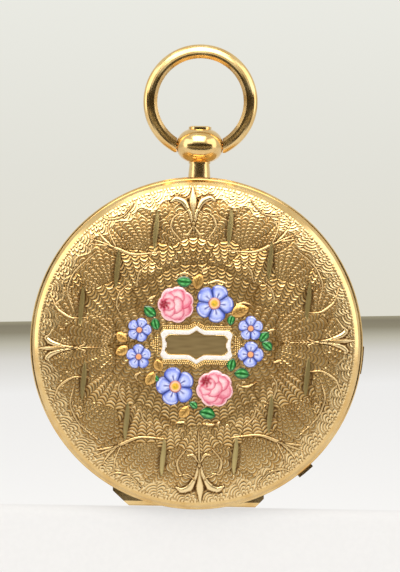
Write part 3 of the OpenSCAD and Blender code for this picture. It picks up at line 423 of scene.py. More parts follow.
def lily(x, y, long, spread):
    # One fleur-de-lis pointing to +y, with a spear and a stem in the middle and curled strokes in pairs.
    petal = ([(0.12, 13.4), (0.4, 14.9), (1.2, 16.2), (2.3, 16.5), (3.0, 16.0)], (0.08, 0.2, 0.42, 0.34, 0.1))
    curl = ([(0.1, 13.4), (0.75, 12.4), (1.5, 12.5)], (0.08, 0.18, 0.06))
    hook = ([(0.5, 15.4), (1.5, 14.6), (2.6, 14.7)], (0.06, 0.12, 0.05))
    spear = ([(0, 13.0), (0, 14.6), (0, 16.0), (0, 17.9)], (0.1, 0.24, 0.55, 0.12))
    stem = ([(0, 13.8), (0, long)], (0.16, 0.07))
    thin = 0.35 + 0.45 * spread
    strokes = []
    for (points, widths), tall, sides in ((spear, 0.17, (1,)), (petal, 0.14, (1, -1)), (stem, 0.08, (1,)),
                                          (curl, 0.08, (1, -1)), (hook, 0.07, (1, -1))):
        for side in sides:
            line = [(a * side * spread, b + 0.5 * (1 - spread) * abs(a)) for a, b in points]
            strokes.append((strokeField(x, y, line, [thin * wide for wide in widths]), tall))
    return strokes


def layStrokes(strokes, height, dark, polishAndGlint):
    # Raises each stroke as a rounded ridge with a painted highlight, and a dark cut along both sides,
    # darkened by tarnish and painted shade.
    for across, tall in strokes:
        # polish also paints a highlight into the colour; the grooves get painted shade
        groove = pulse(np.abs(across - 1.55), 0, 0.5)
        hill = tall * np.sqrt(np.clip(1 - across ** 2, 0, 1))
        on = across < 1
        height = np.where(on, np.maximum(hill, 0.02), height - 0.03 * groove)
        dark = np.where(on, 0.0, np.clip(dark + 0.75 * groove, 0, 1))
        polishAndGlint = np.where(on, 0.45 if tall < 0.13 else 0.7, polishAndGlint * (1 - groove))
    return height, dark, polishAndGlint


def shellBorder(x, y, edge, height, dark, polishAndGlint):
    # Adds a border of leaning shells outside the radius edge, and pairs of short cuts round the rim.
    r, turn = np.hypot(x, y), np.arctan2(x, y)
    fan = 2 * math.pi / engraving["borderFans"]
    inCell = (turn / fan - np.floor(turn / fan) - 0.5) * fan * engraving["borderMiddle"]
    rise = engraving["shellFoot"] - r
    shell = np.hypot(inCell + 0.5 * rise, rise * 0.95)
    h, d, p = scalePattern(shell * 1.05, np.arctan2(inCell + 0.5 * rise, rise) * 1.6 + 40, 1, 21)
    outside = np.clip((r - edge) / 0.1, 0, 1)
    # a raised line along the border's edge, with a painted highlight
    line = 0.6 * pulse(r, edge, 0.08)
    height = (height * (1 - outside) + h * outside) * (1 - line) + 0.06 * line
    dark = (dark * (1 - outside) + 0.8 * d * outside) * (1 - line)
    polishAndGlint = np.maximum(polishAndGlint * (1 - outside) + np.clip(0.2 + 1.2 * p, 0, 1) * outside, line)
    # the short cuts round the rim are darkened by painted shade and tarnish, with a painted highlight between
    # them
    hatch = np.clip((r - engraving["hatchRadius"]) / 0.05, 0, 1)
    cuts = engraving["rimCuts"]
    ticks = np.clip(np.cos(turn * cuts), 0, 1) * (np.cos(turn * cuts / 4) > -0.35)
    height = height * (1 - hatch) + (0.05 - 0.05 * ticks) * hatch
    dark = dark * (1 - hatch) + 0.7 * ticks * hatch
    return height, dark, polishAndGlint * (1 - hatch) + 0.5 * (1 - ticks) * hatch


def fanField(x, y):
    # Fans of scales, the same in all quadrants: each point belongs to the fan it lies nearest to.
    broad, narrow = engraving["strays"]
    fx = np.abs(x + broad * wander(x, y, 5.0, 1.0) + narrow * wander(x, y, 1.6, 8.0))
    fy = np.abs(y + broad * wander(x, y, 5.0, 2.0) + narrow * wander(x, y, 1.6, 9.0))
    best, second = np.full(x.shape, 1e9), np.full(x.shape, 1e9)
    height, dark, polishAndGlint = np.zeros(x.shape), np.zeros(x.shape), np.zeros(x.shape)
    for i, (cx, cy, a, b, lean, px, py, bulge) in enumerate(scaleFans):
        u, v = turned(fx - cx, fy - cy, lean)
        far = (u / a) ** 2 + (v / b) ** 2
        column = np.arctan2(fx - px, fy - py) * math.hypot(cx - px, cy - py) / engraving["columnWidth"]
        h, d, p = scalePattern(np.hypot(fx - px, fy - py), column + 0.5, bulge, i)
        nearer = far < best
        second = np.where(nearer, best, np.minimum(second, far))
        best = np.where(nearer, far, best)
        height, dark, polishAndGlint = (np.where(nearer, new, old)
                                for new, old in ((h, height), (d, dark), (p, polishAndGlint)))
    # the seams between fans are darkened: painted shade, partly tarnish
    seam = np.clip((np.sqrt(second) - np.sqrt(best)) / engraving["seamWidth"], 0, 1)
    height = height * seam - 0.03 * (1 - seam) + engraving["fanSwell"] * (np.clip(1 - best, 0, 1) - 0.4)
    return height, np.clip(dark + 0.3 * (1 - seam), 0, 1), polishAndGlint * seam


def cutSpindles(x, y, height, dark, polishAndGlint):
    # The long polished cuts: hollow, greenish as a painted reflection, with a painted highlight along them,
    # in a dark hollow of the scales round them that is painted shade.
    # green: how much of the painted greenish reflection each point gets
    green = np.zeros(x.shape)
    for cx, cy in spindles:
        v = (y - cy) / engraving["spindleLength"]
        wide = engraving["spindleWidth"] * np.clip(1 - v * v, 0, 1) ** 0.6 + 1e-6
        across = np.abs(x - cx - 0.12 * np.sin(v * 2)) / wide
        on = (across < 1) & (np.abs(v) < 1)
        shade = np.clip(1 - (across - 1) / 1.6, 0, 1) * np.clip(1.15 - v * v, 0, 1) * (np.abs(v) < 1)
        height = np.where(on, -0.02 - 0.05 * (1 - across ** 2), height - 0.02 * shade)
        dark = np.where(on, 0.05 + 0.5 * across ** 4, np.clip(dark + 0.75 * shade, 0, 1))
        polishAndGlint = np.where(on, 0.12 + 0.35 * pulse(across, 0.2, 0.3), polishAndGlint * (1 - 0.6 * shade))
        green = np.where(on, 0.8, green)
    return height, dark, polishAndGlint, green


def frontEngraving(x, y):
    # Height over the plain dome in mm, and how much each point is cut (tarnish and painted shade), polished
    # (with a painted highlight) and greenish (a painted reflection).
    tx, ty = turned(x, y, engraving["turned"])
    scallops = 0.35 * np.cos(np.arctan2(tx, ty) * engraving["borderFans"])
    edge = engraving["borderRadius"] + scallops + 0.2 * wander(tx, ty, 1.5, 4.0)
    height, dark, polishAndGlint = shellBorder(tx, ty, edge, *fanField(tx, ty))
    sx, sy = np.abs(tx + 0.1 * wander(tx, ty, 4.0, 6.0)), np.abs(ty + 0.1 * wander(tx, ty, 4.0, 7.0))
    strokes = [(strokeField(sx, sy, points, widths), 0.09) for points, widths in stems]
    strokes += [(strokeField(x, y, points, (0.05, 0.14, 0.04)), 0.12) for points in tendrils]
    for quarter, (long, spread) in enumerate(lilies):
        strokes += lily(*turned(tx, ty, -90 * quarter), long, spread)
    height, dark, polishAndGlint = layStrokes(strokes, height, dark, polishAndGlint)
    wide, tall, point = engraving["panelRoom"]
    underPanel = (np.abs(x) < wide) & (np.abs(y) < np.maximum(point - 0.2 * np.abs(x), tall))
    return cutSpindles(x, y, np.where(underPanel, -0.08, height), dark, polishAndGlint)


def takeOut(bm):
    # Empties a bmesh into places and polygons.
    bm.verts.index_update()
    co = np.array([v.co[:] for v in bm.verts])
    polygons = [[v.index for v in f.verts] for f in bm.faces]
    bm.free()
    return co, polygons


def closedGrid(across, along):
    # A fine grid above and a coarse one below, bridged round their edges: places in a unit square,
    # polygons, and how many of the places are above.
    bm = bmesh.new()
    bmesh.ops.create_grid(bm, x_segments=across, y_segments=along, size=0.5)
    topEdges = [e for e in bm.edges if e.is_boundary]
    topCount = len(bm.verts)
    bm.verts.index_update()
    bmesh.ops.create_grid(bm, x_segments=max(4, across // 16), y_segments=max(3, along // 16), size=0.5)
    bm.verts.index_update()
    topSet = set(topEdges)
    lowEdges = [e for e in bm.edges if e.is_boundary and e not in topSet]
    bmesh.ops.reverse_faces(bm, faces=[f for f in bm.faces if f.verts[0].index >= topCount])
    bmesh.ops.bridge_loops(bm, edges=topEdges + lowEdges)
    co, polygons = takeOut(bm)
    return co[:, :2] + 0.5, polygons, topCount


def joinPatches(name, patches, finishName, replaces=(), body="front_cover"):
    # Patches are places in the watch's frame, polygons and a colour for each place, which the finish reads.
    points, polygons, colours, count = [], [], [], 0
    for co, faces, patchColours in patches:
        points.append(co)
        colours.append(patchColours)
        polygons += [[i + count for i in f] for f in faces]
        count += len(co)
    points = np.concatenate(points)
    local = np.concatenate([points, np.ones((count, 1))], 1)
    mesh = bpy.data.meshes.new(name)
    mesh.from_pydata((local @ np.array(inCase).T)[:, :3].tolist(), [], polygons)
    layer = mesh.color_attributes.new("paint" if finishName == "enamel" else "work", "FLOAT_COLOR", "POINT")
    colours = np.concatenate([np.concatenate(colours), np.ones((count, 1))], 1)
    layer.data.foreach_set("color", colours.ravel())
    mesh.update()
    placePiece(mesh, body, finishes[finishName], replaces)


def slabPatch(grid, mapping, pattern, side):
    # A closed slab of engraved gold laid on a cover's dome.
    spots, polygons, top = grid
    x, y = mapping(spots[:, 0], spots[:, 1])
    r = np.hypot(x, y)
    inner, outer = np.maximum(r - 0.01, 0), r + 0.01
    slope = (domeHeight(outer) - domeHeight(inner)) / (outer - inner)
    lift = np.full(r.shape, engraving["under"])
    height, dark, polishAndGlint, green = pattern(x[:top], y[:top])
    lift[:top] = height + engraving["proud"]
    long = np.hypot(1, slope)
    out = np.where(r > 1e-6, lift * -slope / long / np.maximum(r, 1e-6), 0)
    co = np.stack([x + x * out, y + y * out, (domeHeight(r) + lift / long) * side], 1)
    work = np.zeros((len(co), 3))
    work[:top] = np.stack([dark, polishAndGlint, green], 1)
    if side < 0:
        polygons = [f[::-1] for f in polygons]
    return co, polygons, work


def discMap(radius):
    # Rounds a unit square into a disc, with even spacing.
    def mapping(u, v):
        a, b = 2 * u - 1, 2 * v - 1
        big = np.abs(a) > np.abs(b)
        r = np.where(big, a, b)
        with np.errstate(divide="ignore", invalid="ignore"):
            t = np.where(big, math.pi / 4 * np.nan_to_num(b / a),
                         math.pi / 2 - math.pi / 4 * np.nan_to_num(a / b))
        return radius * r * np.cos(t), radius * r * np.sin(t)
    return mapping


def sectorMap(start, end, inner, outer):
    # Bends a unit square round the dome, with steps that are even along the shoulder's curve.
    lowArc, highArc = np.interp([inner, outer], profileR, profileArc)
    def mapping(u, v):
        r = np.interp(lowArc + v * (highArc - lowArc), profileArc, profileR)
        t = start + u * (end - start)
        return r * np.sin(t), r * np.cos(t)
    return mapping


coarse = 1.0


def engrave(cover, look, pattern, side):
    # Lays a pattern on a cover: a middle disc and six sectors round it.
    middleGrid, sectorGrid = (closedGrid(*(int(n / coarse) for n in look[steps]))
                              for steps in ("middleSteps", "sectorSteps"))
    parts = {"middle": (middleGrid, discMap(watch["flatRadius"]))}
    step = math.pi / 3
    for i in range(6):
        parts[str(i + 1)] = (sectorGrid, sectorMap(i * step, (i + 1) * step, watch["flatRadius"],
                                                   engraving["fieldRadius"]))
    for part, (grid, mapping) in parts.items():
        joinPatches(f"{cover}_engraving_{part}", [slabPatch(grid, mapping, pattern, side)], "engraved",
                    body=f"{cover}_cover")


engrave("front", engraving, frontEngraving, 1)
print("front cover engraved")

turning = {
    "panel": 3.1,        # radius of the bare panel
    "rays": 72,
    "waves": 1.9,
    "rowPitch": 0.5,
    "deep": 0.05,
    "borderRadius": 16.2,
    "sunk": 0.06,        # how far it all lies under the height of the front's
    "middleSteps": (150, 150),
    "sectorSteps": (170, 90),
}


def backEngraving(x, y):
    # Engine turning: waved rays of barleycorns round a bare polished panel, inside the same border of shells.
    r, turn = np.hypot(x, y), np.arctan2(x, y)
    waved = turn / (2 * math.pi) * turning["rays"] + 0.55 * np.sin(r * turning["waves"])
    rows = r / turning["rowPitch"] / 2 + waved
    corn = np.abs(np.sin(waved * math.pi)) * np.abs(np.sin(rows * math.pi))
    height = turning["deep"] * (corn - 0.5)
    # painted shade in the hollows of the barleycorns and a painted highlight on their tops
    dark, polishAndGlint = np.clip(0.9 - 2.2 * corn, 0, 1), np.clip(1.6 * corn - 0.7, 0, 1)
    height, dark, polishAndGlint = shellBorder(x, y, turning["borderRadius"] + 0 * r, height, dark, polishAndGlint)
    panel = 1 - smooth(r, turning["panel"], turning["panel"] + 0.06)
    line = pulse(r, turning["panel"] + 0.25, 0.14)
    bare = (1 - panel) * (1 - line)
    # the bare panel and the ring round it get a full painted highlight
    polishAndGlint = np.maximum(polishAndGlint * (1 - panel), np.maximum(panel, line))
    return height * bare + 0.05 * line - turning["sunk"], dark * bare, polishAndGlint, 0 * r


engrave("back", turning, backEngraving, -1)
print("back cover engraved")


# Enamel wreath and cartouche

wreath = {
    # place, turn in degrees, petals and radius of each blue flower
    "flowers": [(1.96, 4.75, 66, 5, 2.2), (-2.32, -4.74, 32, 5, 2.22), (-6.5, 1.62, 0, 5, 1.4),
                (-6.53, -1.43, 20, 5, 1.45), (6.12, 1.98, 18, 5, 1.43), (6.15, -0.97, -3, 4, 1.48)],
    # place and radius of each rose, and the way to its heart in degrees
    "roses": [(-2.4, 4.55, 2.05, 180), (2.15, -4.92, 2.08, 140)],
    # place, angle and length of each leaf
    "greenLeaves": [(-1.5, 7.25, 175, 1.85), (-5.3, 3.75, 140, 1.75), (-4.62, 2.33, 105, 1.5),
                    (7.7, 1.05, 50, 1.5), (8.0, 0.0, -40, 1.5), (4.07, -2.2, 80, 1.6), (5.2, -3.25, -5, 1.85),
                    (1.35, -7.85, -15, 2.0), (-0.25, -6.85, -40, 1.2), (3.94, 2.9, 75, 1.3),
                    (-4.55, -3.8, 140, 1.1)],
    "goldLeaves": [(0.15, 7.2, 75, 1.9), (4.9, 3.85, 25, 2.2), (-8.45, 0.8, 140, 1.6),
                   (-8.45, -0.7, 215, 1.7), (-4.2, -2.35, 110, 1.6), (-5.2, -3.85, 240, 1.8),
                   (-1.3, -7.6, 235, 1.7)],
    "sunk": 0.25,      # how far a patch of enamel goes down into the gold
}
enamelColours = {
    "petal": "#7486da", "pale petal": "#b3bef0", "white petal": "#d9ddf6", "deep petal": "#4359bd",
    "petal edge": "#24357f", "vein": "#27338a", "rim": "#cdd3f2",
    "heart": "#dcab34", "heart rim": "#943238", "heart white": "#e0b79c", "heart green": "#7d8a2c",
    "orange heart": "#dc9868", "purple": "#4b2f6b",
    "rose": "#cf6f86", "pale rose": "#dfa3b1", "deep rose": "#b23653", "crimson": "#831428",
    "white rose": "#e3c9cb",
    "leaf": "#116a27", "dark leaf": "#052f13", "light leaf": "#6fc47a", "white": "#d6d3d1",
}
paint = {name: np.array(linear(colour)[:3]) for name, colour in enamelColours.items()}
small = closedGrid(14, 14)
fine = closedGrid(44, 44)


def enamelFinish():
    # Painted enamel under clear flux, fired and polished: glassy, with brush marks in the colour
    material, tree, shader = newMaterial("painted enamel", IOR=1.5, Coat_Weight=0.5)
    colour = addNode(tree, "ShaderNodeAttribute", {"attribute_name": "paint"}).outputs["Color"]
    brush = addNode(tree, "ShaderNodeValToRGB", None, {"Fac": clouds(tree, 0.0002, 4.0)},
                    [(0.3, "#d9d9d9"), (0.65, "#ffffff")])
    brushed = addNode(tree, "ShaderNodeMix", {"data_type": "RGBA", "blend_type": "MULTIPLY", 0: 0.7},
                      {6: colour, 7: brush.outputs["Color"]})
    dress(tree, shader, brushed.outputs[2], clouds(tree, 0.0006), (0.12, 0.3), 0.0003, 0.1, 2e-5)
    return material


finishes["enamel"] = enamelFinish()


def painted(ground, layers):
    # Lays paints over a ground colour, each by its amount at each point.
    for name, amount in layers:
        amount = np.clip(amount, 0, 1)[:, None]
        ground = ground * (1 - amount) + paint[name] * amount
    return ground


def enamelPatch(grid, shape, values, height):
    # A patch of enamel or gold: shape gives place, part of the height and paint for points of a unit disc.
    spots, polygons, top = grid
    px, py = discMap(1.0)(spots[:, 0], spots[:, 1])
    x, y, rise, colour = shape(px, py, *values)
    z = domeHeight(np.hypot(x, y)) + engraving["proud"]
    z[:top] += height * rise[:top]
    z[top:] -= wreath["sunk"]
    return np.stack([x, y, z], 1), polygons, colour


def flower(px, py, cx, cy, angle, count, radius):
    rho, theta = np.hypot(px, py), np.arctan2(py, px)
    part = (theta - math.radians(angle)) * count / (2 * math.pi)
    a = (part - np.round(part)) * 2
    side, lobe = np.abs(a), np.cos(a * math.pi / 2)
    q = rho * (0.7 + 0.3 * np.clip(lobe, 0, 1) ** 0.5)
    lit = smooth(lobe, 0.1, 0.6) * (np.sin(theta * 2.3) > -0.4)
    colour = painted(paint["petal"], [
        ("pale petal", 1.15 * pulse(q, 0.55, 0.26) * (1 - side ** 2)),
        ("white petal", 0.8 * pulse(q, 0.42, 0.1) * pulse(side, 0.3, 0.25)),
        ("deep petal", 0.8 * smooth(side, 0.5, 0.95) + 0.7 * smooth(rho, 0.74, 0.98)),
        ("rim", 0.85 * pulse(rho, 0.9, 0.05) * lit),
        ("vein", pulse(a, 0, 0.14) * smooth(0.66 - q, 0, 0.15)),
        ("vein", 0.6 * pulse(side, 0.5, 0.11) * smooth(0.5 - q, 0, 0.1)),
        ("petal edge", smooth(side, 0.78, 0.96) + smooth(rho, 0.93, 0.98)),
    ])
    cupped = (0.4 + 0.6 * np.clip(lobe, 0, 1) ** 0.6) * (0.75 + 0.25 * smooth(q, 0.2, 0.6))
    rise = 0.2 + 0.8 * (1 - rho ** 6) * cupped
    return cx + radius * q * np.cos(theta), cy + radius * q * np.sin(theta), rise, colour


def flowerHeart(px, py, cx, cy, angle, count, radius):
    # Takes the values of its flower: the two large ones have another heart than the small ones.
    rho = np.hypot(px, py)
    if radius > 2:
        radius *= 0.31
        specks = wander(px, py, 0.3, 3.0) > -0.1
        colour = painted(paint["heart"], [
            ("heart green", 0.8 * pulse(rho, 0.15, 0.22) * specks),
            ("heart white", smooth(rho, 0.5, 0.7)),
            ("heart rim", smooth(rho, 0.78, 0.92)),
        ])
    else:
        radius *= 0.28
        colour = painted(paint["orange heart"], [("purple", smooth(rho, 0.66, 0.82))])
    return cx + radius * px, cy + radius * py, 0.9 + 0.45 * np.sqrt(np.clip(1 - rho ** 2, 0, 1)), colour


# Petals of a rose, from the outermost in: place towards its heart and across, and size
rosePetals = [
    (-0.12, 0.0, 0.84), (-0.3, 0.36, 0.52), (-0.34, -0.3, 0.55), (-0.02, 0.4, 0.46), (-0.05, -0.42, 0.44),
    (0.08, 0.02, 0.5), (0.36, 0.34, 0.34), (0.4, -0.34, 0.32), (0.4, 0.0, 0.36),
]


def rose(px, py, cx, cy, radius, heart):
    rho, theta = np.hypot(px, py), np.arctan2(py, px)
    reach = 0.89 + 0.12 * np.abs(np.cos(3.5 * (theta - math.radians(heart)))) ** 0.6
    u, v = px * reach, py * reach
    near, across = turned(u, v, heart)
    far = 0.35 + 0.65 * (0.5 - 0.5 * near)
    inner = 0.35 + 0.65 * smooth(-near, -0.7, 0.4)
    colour = paint["pale rose"]
    rise = 0.25 + 0.6 * (1 - rho ** 5)
    for i, (toHeart, side, size) in enumerate(rosePetals):
        outer = i < 3
        away = np.hypot(near - toHeart, across - side) / size
        turn = np.arctan2(across - side, near - toHeart - 0.4 * size)
        edge = 0.85 * smooth(away, 0.5, 0.95) + 0.25 * np.sin(turn * 5 + i) * pulse(away, 0.8, 0.25)
        petal = painted(paint["pale rose"], [
            ("white rose", 0.9 * pulse(away, 0.35, 0.4) * far * (0.45 if outer else 1)),
            ("rose", edge + (0.4 if outer else 0)),
            ("deep rose", 0.9 * pulse(away, 0.97, 0.07) * inner),
        ])
        on = smooth(1.04 - away, 0, 0.06)[:, None]
        colour = colour * (1 - on) + petal * on
        rise = rise + 0.05 * on[:, 0] * (1 - away ** 2)
    away = np.hypot(near - 0.66, across)
    turn = np.arctan2(across, near - 0.66)
    colour = painted(colour, [
        ("deep rose", smooth(0.42 - away, 0, 0.1) * (0.6 + 0.4 * np.sin(turn * 7 + away * 9))),
        ("crimson", smooth(0.27 - away, 0, 0.1) * (0.85 + 0.25 * np.sin(turn * 5))),
        ("white rose", 0.85 * pulse(rho, 0.95, 0.035)),
    ])
    return cx + radius * u, cy + radius * v, rise, colour


def leafForm(px, py, cx, cy, angle, long):
    # The unit disc becomes a pointed leaf: its places, its height, and -1 to 1 along and across it.
    along, across = px, py / np.sqrt(np.clip(1 - px ** 2, 1e-6, 1))
    wide = 0.35 * long * (1 - np.abs(along) ** 2.2)
    x, y = turned(along * long / 2, across * wide + 0.06 * long * (1 - along ** 2), -angle)
    edge = np.maximum(np.abs(across), np.abs(along))
    return cx + x, cy + y, 0.35 + 0.65 * (1 - across ** 2) * (1 - along ** 4), along, across, edge


def greenLeaf(*values):
    x, y, rise, along, across, edge = leafForm(*values)
    streak = pulse(np.abs(across), 0.38, 0.13) * (1 - smooth(np.abs(along), 0.5, 0.75))
    return x, y, rise, painted(paint["leaf"], [
        ("light leaf", 1.1 * streak * (0.65 + 0.35 * np.sin(along * 9))),
        ("dark leaf", 0.8 * pulse(across, 0, 0.12) + smooth(edge, 0.72, 0.92)),
    ])


def goldLeaf(*values):
    x, y, rise, along, across, edge = leafForm(*values)
    sideVeins = np.clip(np.cos((np.abs(across) * 1.2 - along * 2.2) * 7), 0, 1) ** 2
    # darker in the veins and round the edge: tarnish in the cuts and painted shade; the rest of the leaf gets
    # a little painted highlight
    dark = np.clip(0.5 * (pulse(across, 0, 0.1) + 0.6 * sideVeins) + 0.9 * smooth(edge, 0.88, 0.99), 0, 1)
    return x, y, rise - 0.18 * dark, np.stack([dark, 0.3 - 0.3 * dark, 0 * dark], 1)


wreathPieces = [  # name, slot, the CAD node it stands for, finish, grid, shape, values and height
    ("painted_blue_flowers", "blue_enamel", "blue_flowers", "enamel", fine, flower, "flowers", 0.25),
    ("painted_flower_hearts", "yellow_enamel", "flower_hearts", "enamel", small, flowerHeart, "flowers",
     0.25),
    ("painted_roses", "pink_enamel", "roses", "enamel", fine, rose, "roses", 0.34),
    ("painted_green_leaves", "green_enamel", "green_leaves", "enamel", small, greenLeaf, "greenLeaves", 0.19),
    ("engraved_gold_leaves", "engraved_gold", "gold_leaves", "leaf gold", fine, goldLeaf, "goldLeaves", 0.3),
]
for name, slot, node, finishName, grid, shape, places, height in wreathPieces:
    joinPatches(name, [enamelPatch(grid, shape, values, height) for values in wreath[places]], finishName,
                [node])

cartouche = {
    "width": 8.15,
    "height": 3.3,
    "point": 0.52,       # the points above and below, and half their width
    "pointHalf": 0.85,
    "edge": 0.5,         # width of the enamel band
    "under": -0.25,      # how far band and panel go down into the gold
    "beadSize": 0.1,
    "beadPitch": 0.23,
    "beadRows": [(0.24, 1.4), (0.46, 2.1)],   # how far out, and how high each row begins
    "beadColumns": [(4.42, 9), (4.66, 7), (4.9, 4), (5.14, 2)],   # at the ends: place, count
    "columnPitch": 0.25,
}


def polished(co):  # full polish with a painted highlight, for each place
    return np.tile([0.0, 1.0, 0.0], (len(co), 1))


def bracketOutline(grow):
    # Closed outline of the cartouche, grown outward: cut corners, hollow ends, a point above and below
    w, t = cartouche["width"] / 2 + grow, cartouche["height"] / 2 + grow
    point, pointHalf = cartouche["point"], cartouche["pointHalf"]
    quarter = [(0.0, t + point), (0.12, t + point - 0.07), (0.45, t + 0.22), (pointHalf, t + 0.02),
               (1.2, t), (w - 0.9, t + 0.02), (w - 0.5, t + 0.02), (w - 0.36, t - 0.03), (w - 0.06, t - 0.33),
               (w, t - 0.45), (w - 0.02, t - 0.6), (w - 0.14, t - 0.95), (w - 0.2, 0.3)]
    right = quarter + [(x, -y) for x, y in quarter[::-1]]
    return right + [(-x, y) for x, y in right[-2:0:-1]]


def ringPatch(section):
    # A closed band round the cartouche: the section lists how far out and how high each of its corners lies
    bm = bmesh.new()
    loops = []
    for grow, high in section:
        corners = [bm.verts.new((x, y, domeHeight(math.hypot(x, y)) + engraving["proud"] + high))
                   for x, y in bracketOutline(grow)]
        loops.append([bm.edges.new((corners[i - 1], corners[i])) for i in range(len(corners))])
    for i in range(len(loops)):
        bmesh.ops.bridge_loops(bm, edges=loops[i - 1] + loops[i])
    bmesh.ops.recalc_face_normals(bm, faces=bm.faces[:])
    return takeOut(bm)


def addFrame():
    under, edge = cartouche["under"], cartouche["edge"]
    co, polygons = ringPatch([(0, under), (0, 0.08), (-0.04, 0.13), (-0.14, 0.16), (0.14 - edge, 0.16),
                              (0.04 - edge, 0.13), (-edge, 0.08), (-edge, under)])
    joinPatches("enamel_cartouche", [(co, polygons, np.tile(paint["white"], (len(co), 1)))], "enamel",
                ["cartouche"])
    lips = []
    for out, wide, high in ((0.09, 0.09, 0.09), (-edge, 0.07, 0.12)):
        co, polygons = ringPatch([(out, under), (out, high - 0.03), (out - wide * 0.3, high),
                                  (out - wide * 0.7, high), (out - wide, high - 0.03), (out - wide, under)])
        lips.append((co, polygons, polished(co)))
    joinPatches("cartouche_gold_lips", lips, "leaf gold")


def addPanel():
    # The bare polished gold inside the frame, with faint streaks of wear
    spots, polygons, top = closedGrid(60, 30)
    x = (spots[:, 0] - 0.5) * (cartouche["width"] - 2 * cartouche["edge"] - 0.1)
    point = cartouche["point"] * np.clip(1 - np.abs(x) / cartouche["pointHalf"], 0, 1)
    y = (spots[:, 1] - 0.5) * 2 * (cartouche["height"] / 2 - cartouche["edge"] + point)
    streak = wander(x * 0.4, y * 2.5, 0.35, 5.0)
    lift = np.full(len(x), cartouche["under"])
    lift[:top] = 0.07 + 0.006 * streak[:top]
    # painted reflection: the panel takes most of the greenish spindle colour, for polished gold mirroring the
    # room; the streaks of wear darken it a little
    shade = np.stack([0.1 + 0.2 * streak, 0 * x, 0.9 + 0 * x], 1)
    joinPatches("bare_panel", [(np.stack([x, y, domeHeight(np.hypot(x, y)) + lift], 1), polygons,
                                np.clip(shade, 0, 1))], "leaf gold")


def milgrainSpots():
    # Two rows of beads above and below the frame, columns at its ends, none on the flowers
    pitch, spots = cartouche["beadPitch"], []
    for out, start in cartouche["beadRows"]:
        outline = np.array(bracketOutline(out) + bracketOutline(out)[:1])
        runs = np.concatenate([[0], np.cumsum(np.hypot(*np.diff(outline, axis=0).T))])
        along = np.arange(out / 2, runs[-1] - pitch / 2, pitch)
        beadX, beadY = (np.interp(along, runs, outline[:, i]) for i in (0, 1))
        spots += [(x, y) for x, y in zip(beadX, beadY) if abs(y) > start and abs(x) < 3.9]
    for column, count in cartouche["beadColumns"]:
        spots += [(side * column, (i - (count - 1) / 2) * cartouche["columnPitch"])
                  for i in range(count) for side in (-1, 1)]
    taken = [(x, y, 0.93 * radius) for x, y, _, _, radius in wreath["flowers"]]
    taken += [(x, y, radius) for x, y, radius, _ in wreath["roses"]]
    return [(x, y) for x, y in spots if all(math.hypot(x - cx, y - cy) > radius for cx, cy, radius in taken)]


def addBeads():
    # Beads raised with a graver, each a small ball sunk to its middle
    bm = bmesh.new()
    bmesh.ops.create_uvsphere(bm, u_segments=7, v_segments=4, radius=cartouche["beadSize"])
    ball, polygons = takeOut(bm)
    middles = [(x, y, domeHeight(math.hypot(x, y)) + engraving["proud"] + 0.03) for x, y in milgrainSpots()]
    joinPatches("milgrain_beads", [(ball + middle, polygons, polished(ball)) for middle in middles],
                "leaf gold")


addFrame()
addPanel()
addBeads()
print("wreath and cartouche enamelled")


# Dial figures

figures = {
    "numerals": ("XII", "I", "II", "III", "IIII", "V", "VI", "VII", "VIII", "IX", "X", "XI"),
    "tall": 2.9,          # of a numeral
    "narrow": 0.62,       # its letters are pressed together
    "numeralRadius": 0.74,   # parts of the dial's radius
    "trackRadius": (0.9, 0.955),
    "line": 0.08,
    "minuteWide": 0.07,
    "fifthWide": 0.22,    # every fifth minute
    "thick": 0.02,
}


def numeralMesh(text):
    # One numeral in Blender's own font, as a mesh one unit thick
    curve = bpy.data.curves.new("numeral", "FONT")
    curve.body = text
    curve.align_x, curve.align_y = "CENTER", "CENTER"
    curve.resolution_u = 3
    curve.extrude = 0.5
    made = newObject("numeral", curve)
    mesh = bpy.data.meshes.new_from_object(made.evaluated_get(bpy.context.evaluated_depsgraph_get()))
    bpy.data.objects.remove(made)
    bpy.data.curves.remove(curve)
    return mesh


def addRing(bm, inner, outer, low, high):
    section = ((inner, low), (outer, low), (outer, high), (inner, high))
    corners = [bm.verts.new((r, 0, z)) for r, z in section]
    edges = [bm.edges.new((corners[i - 1], corners[i])) for i in range(4)]
    bmesh.ops.spin(bm, geom=corners + edges, cent=(0, 0, 0), axis=(0, 0, 1), angle=2 * math.pi, steps=96,
                   use_merge=True)


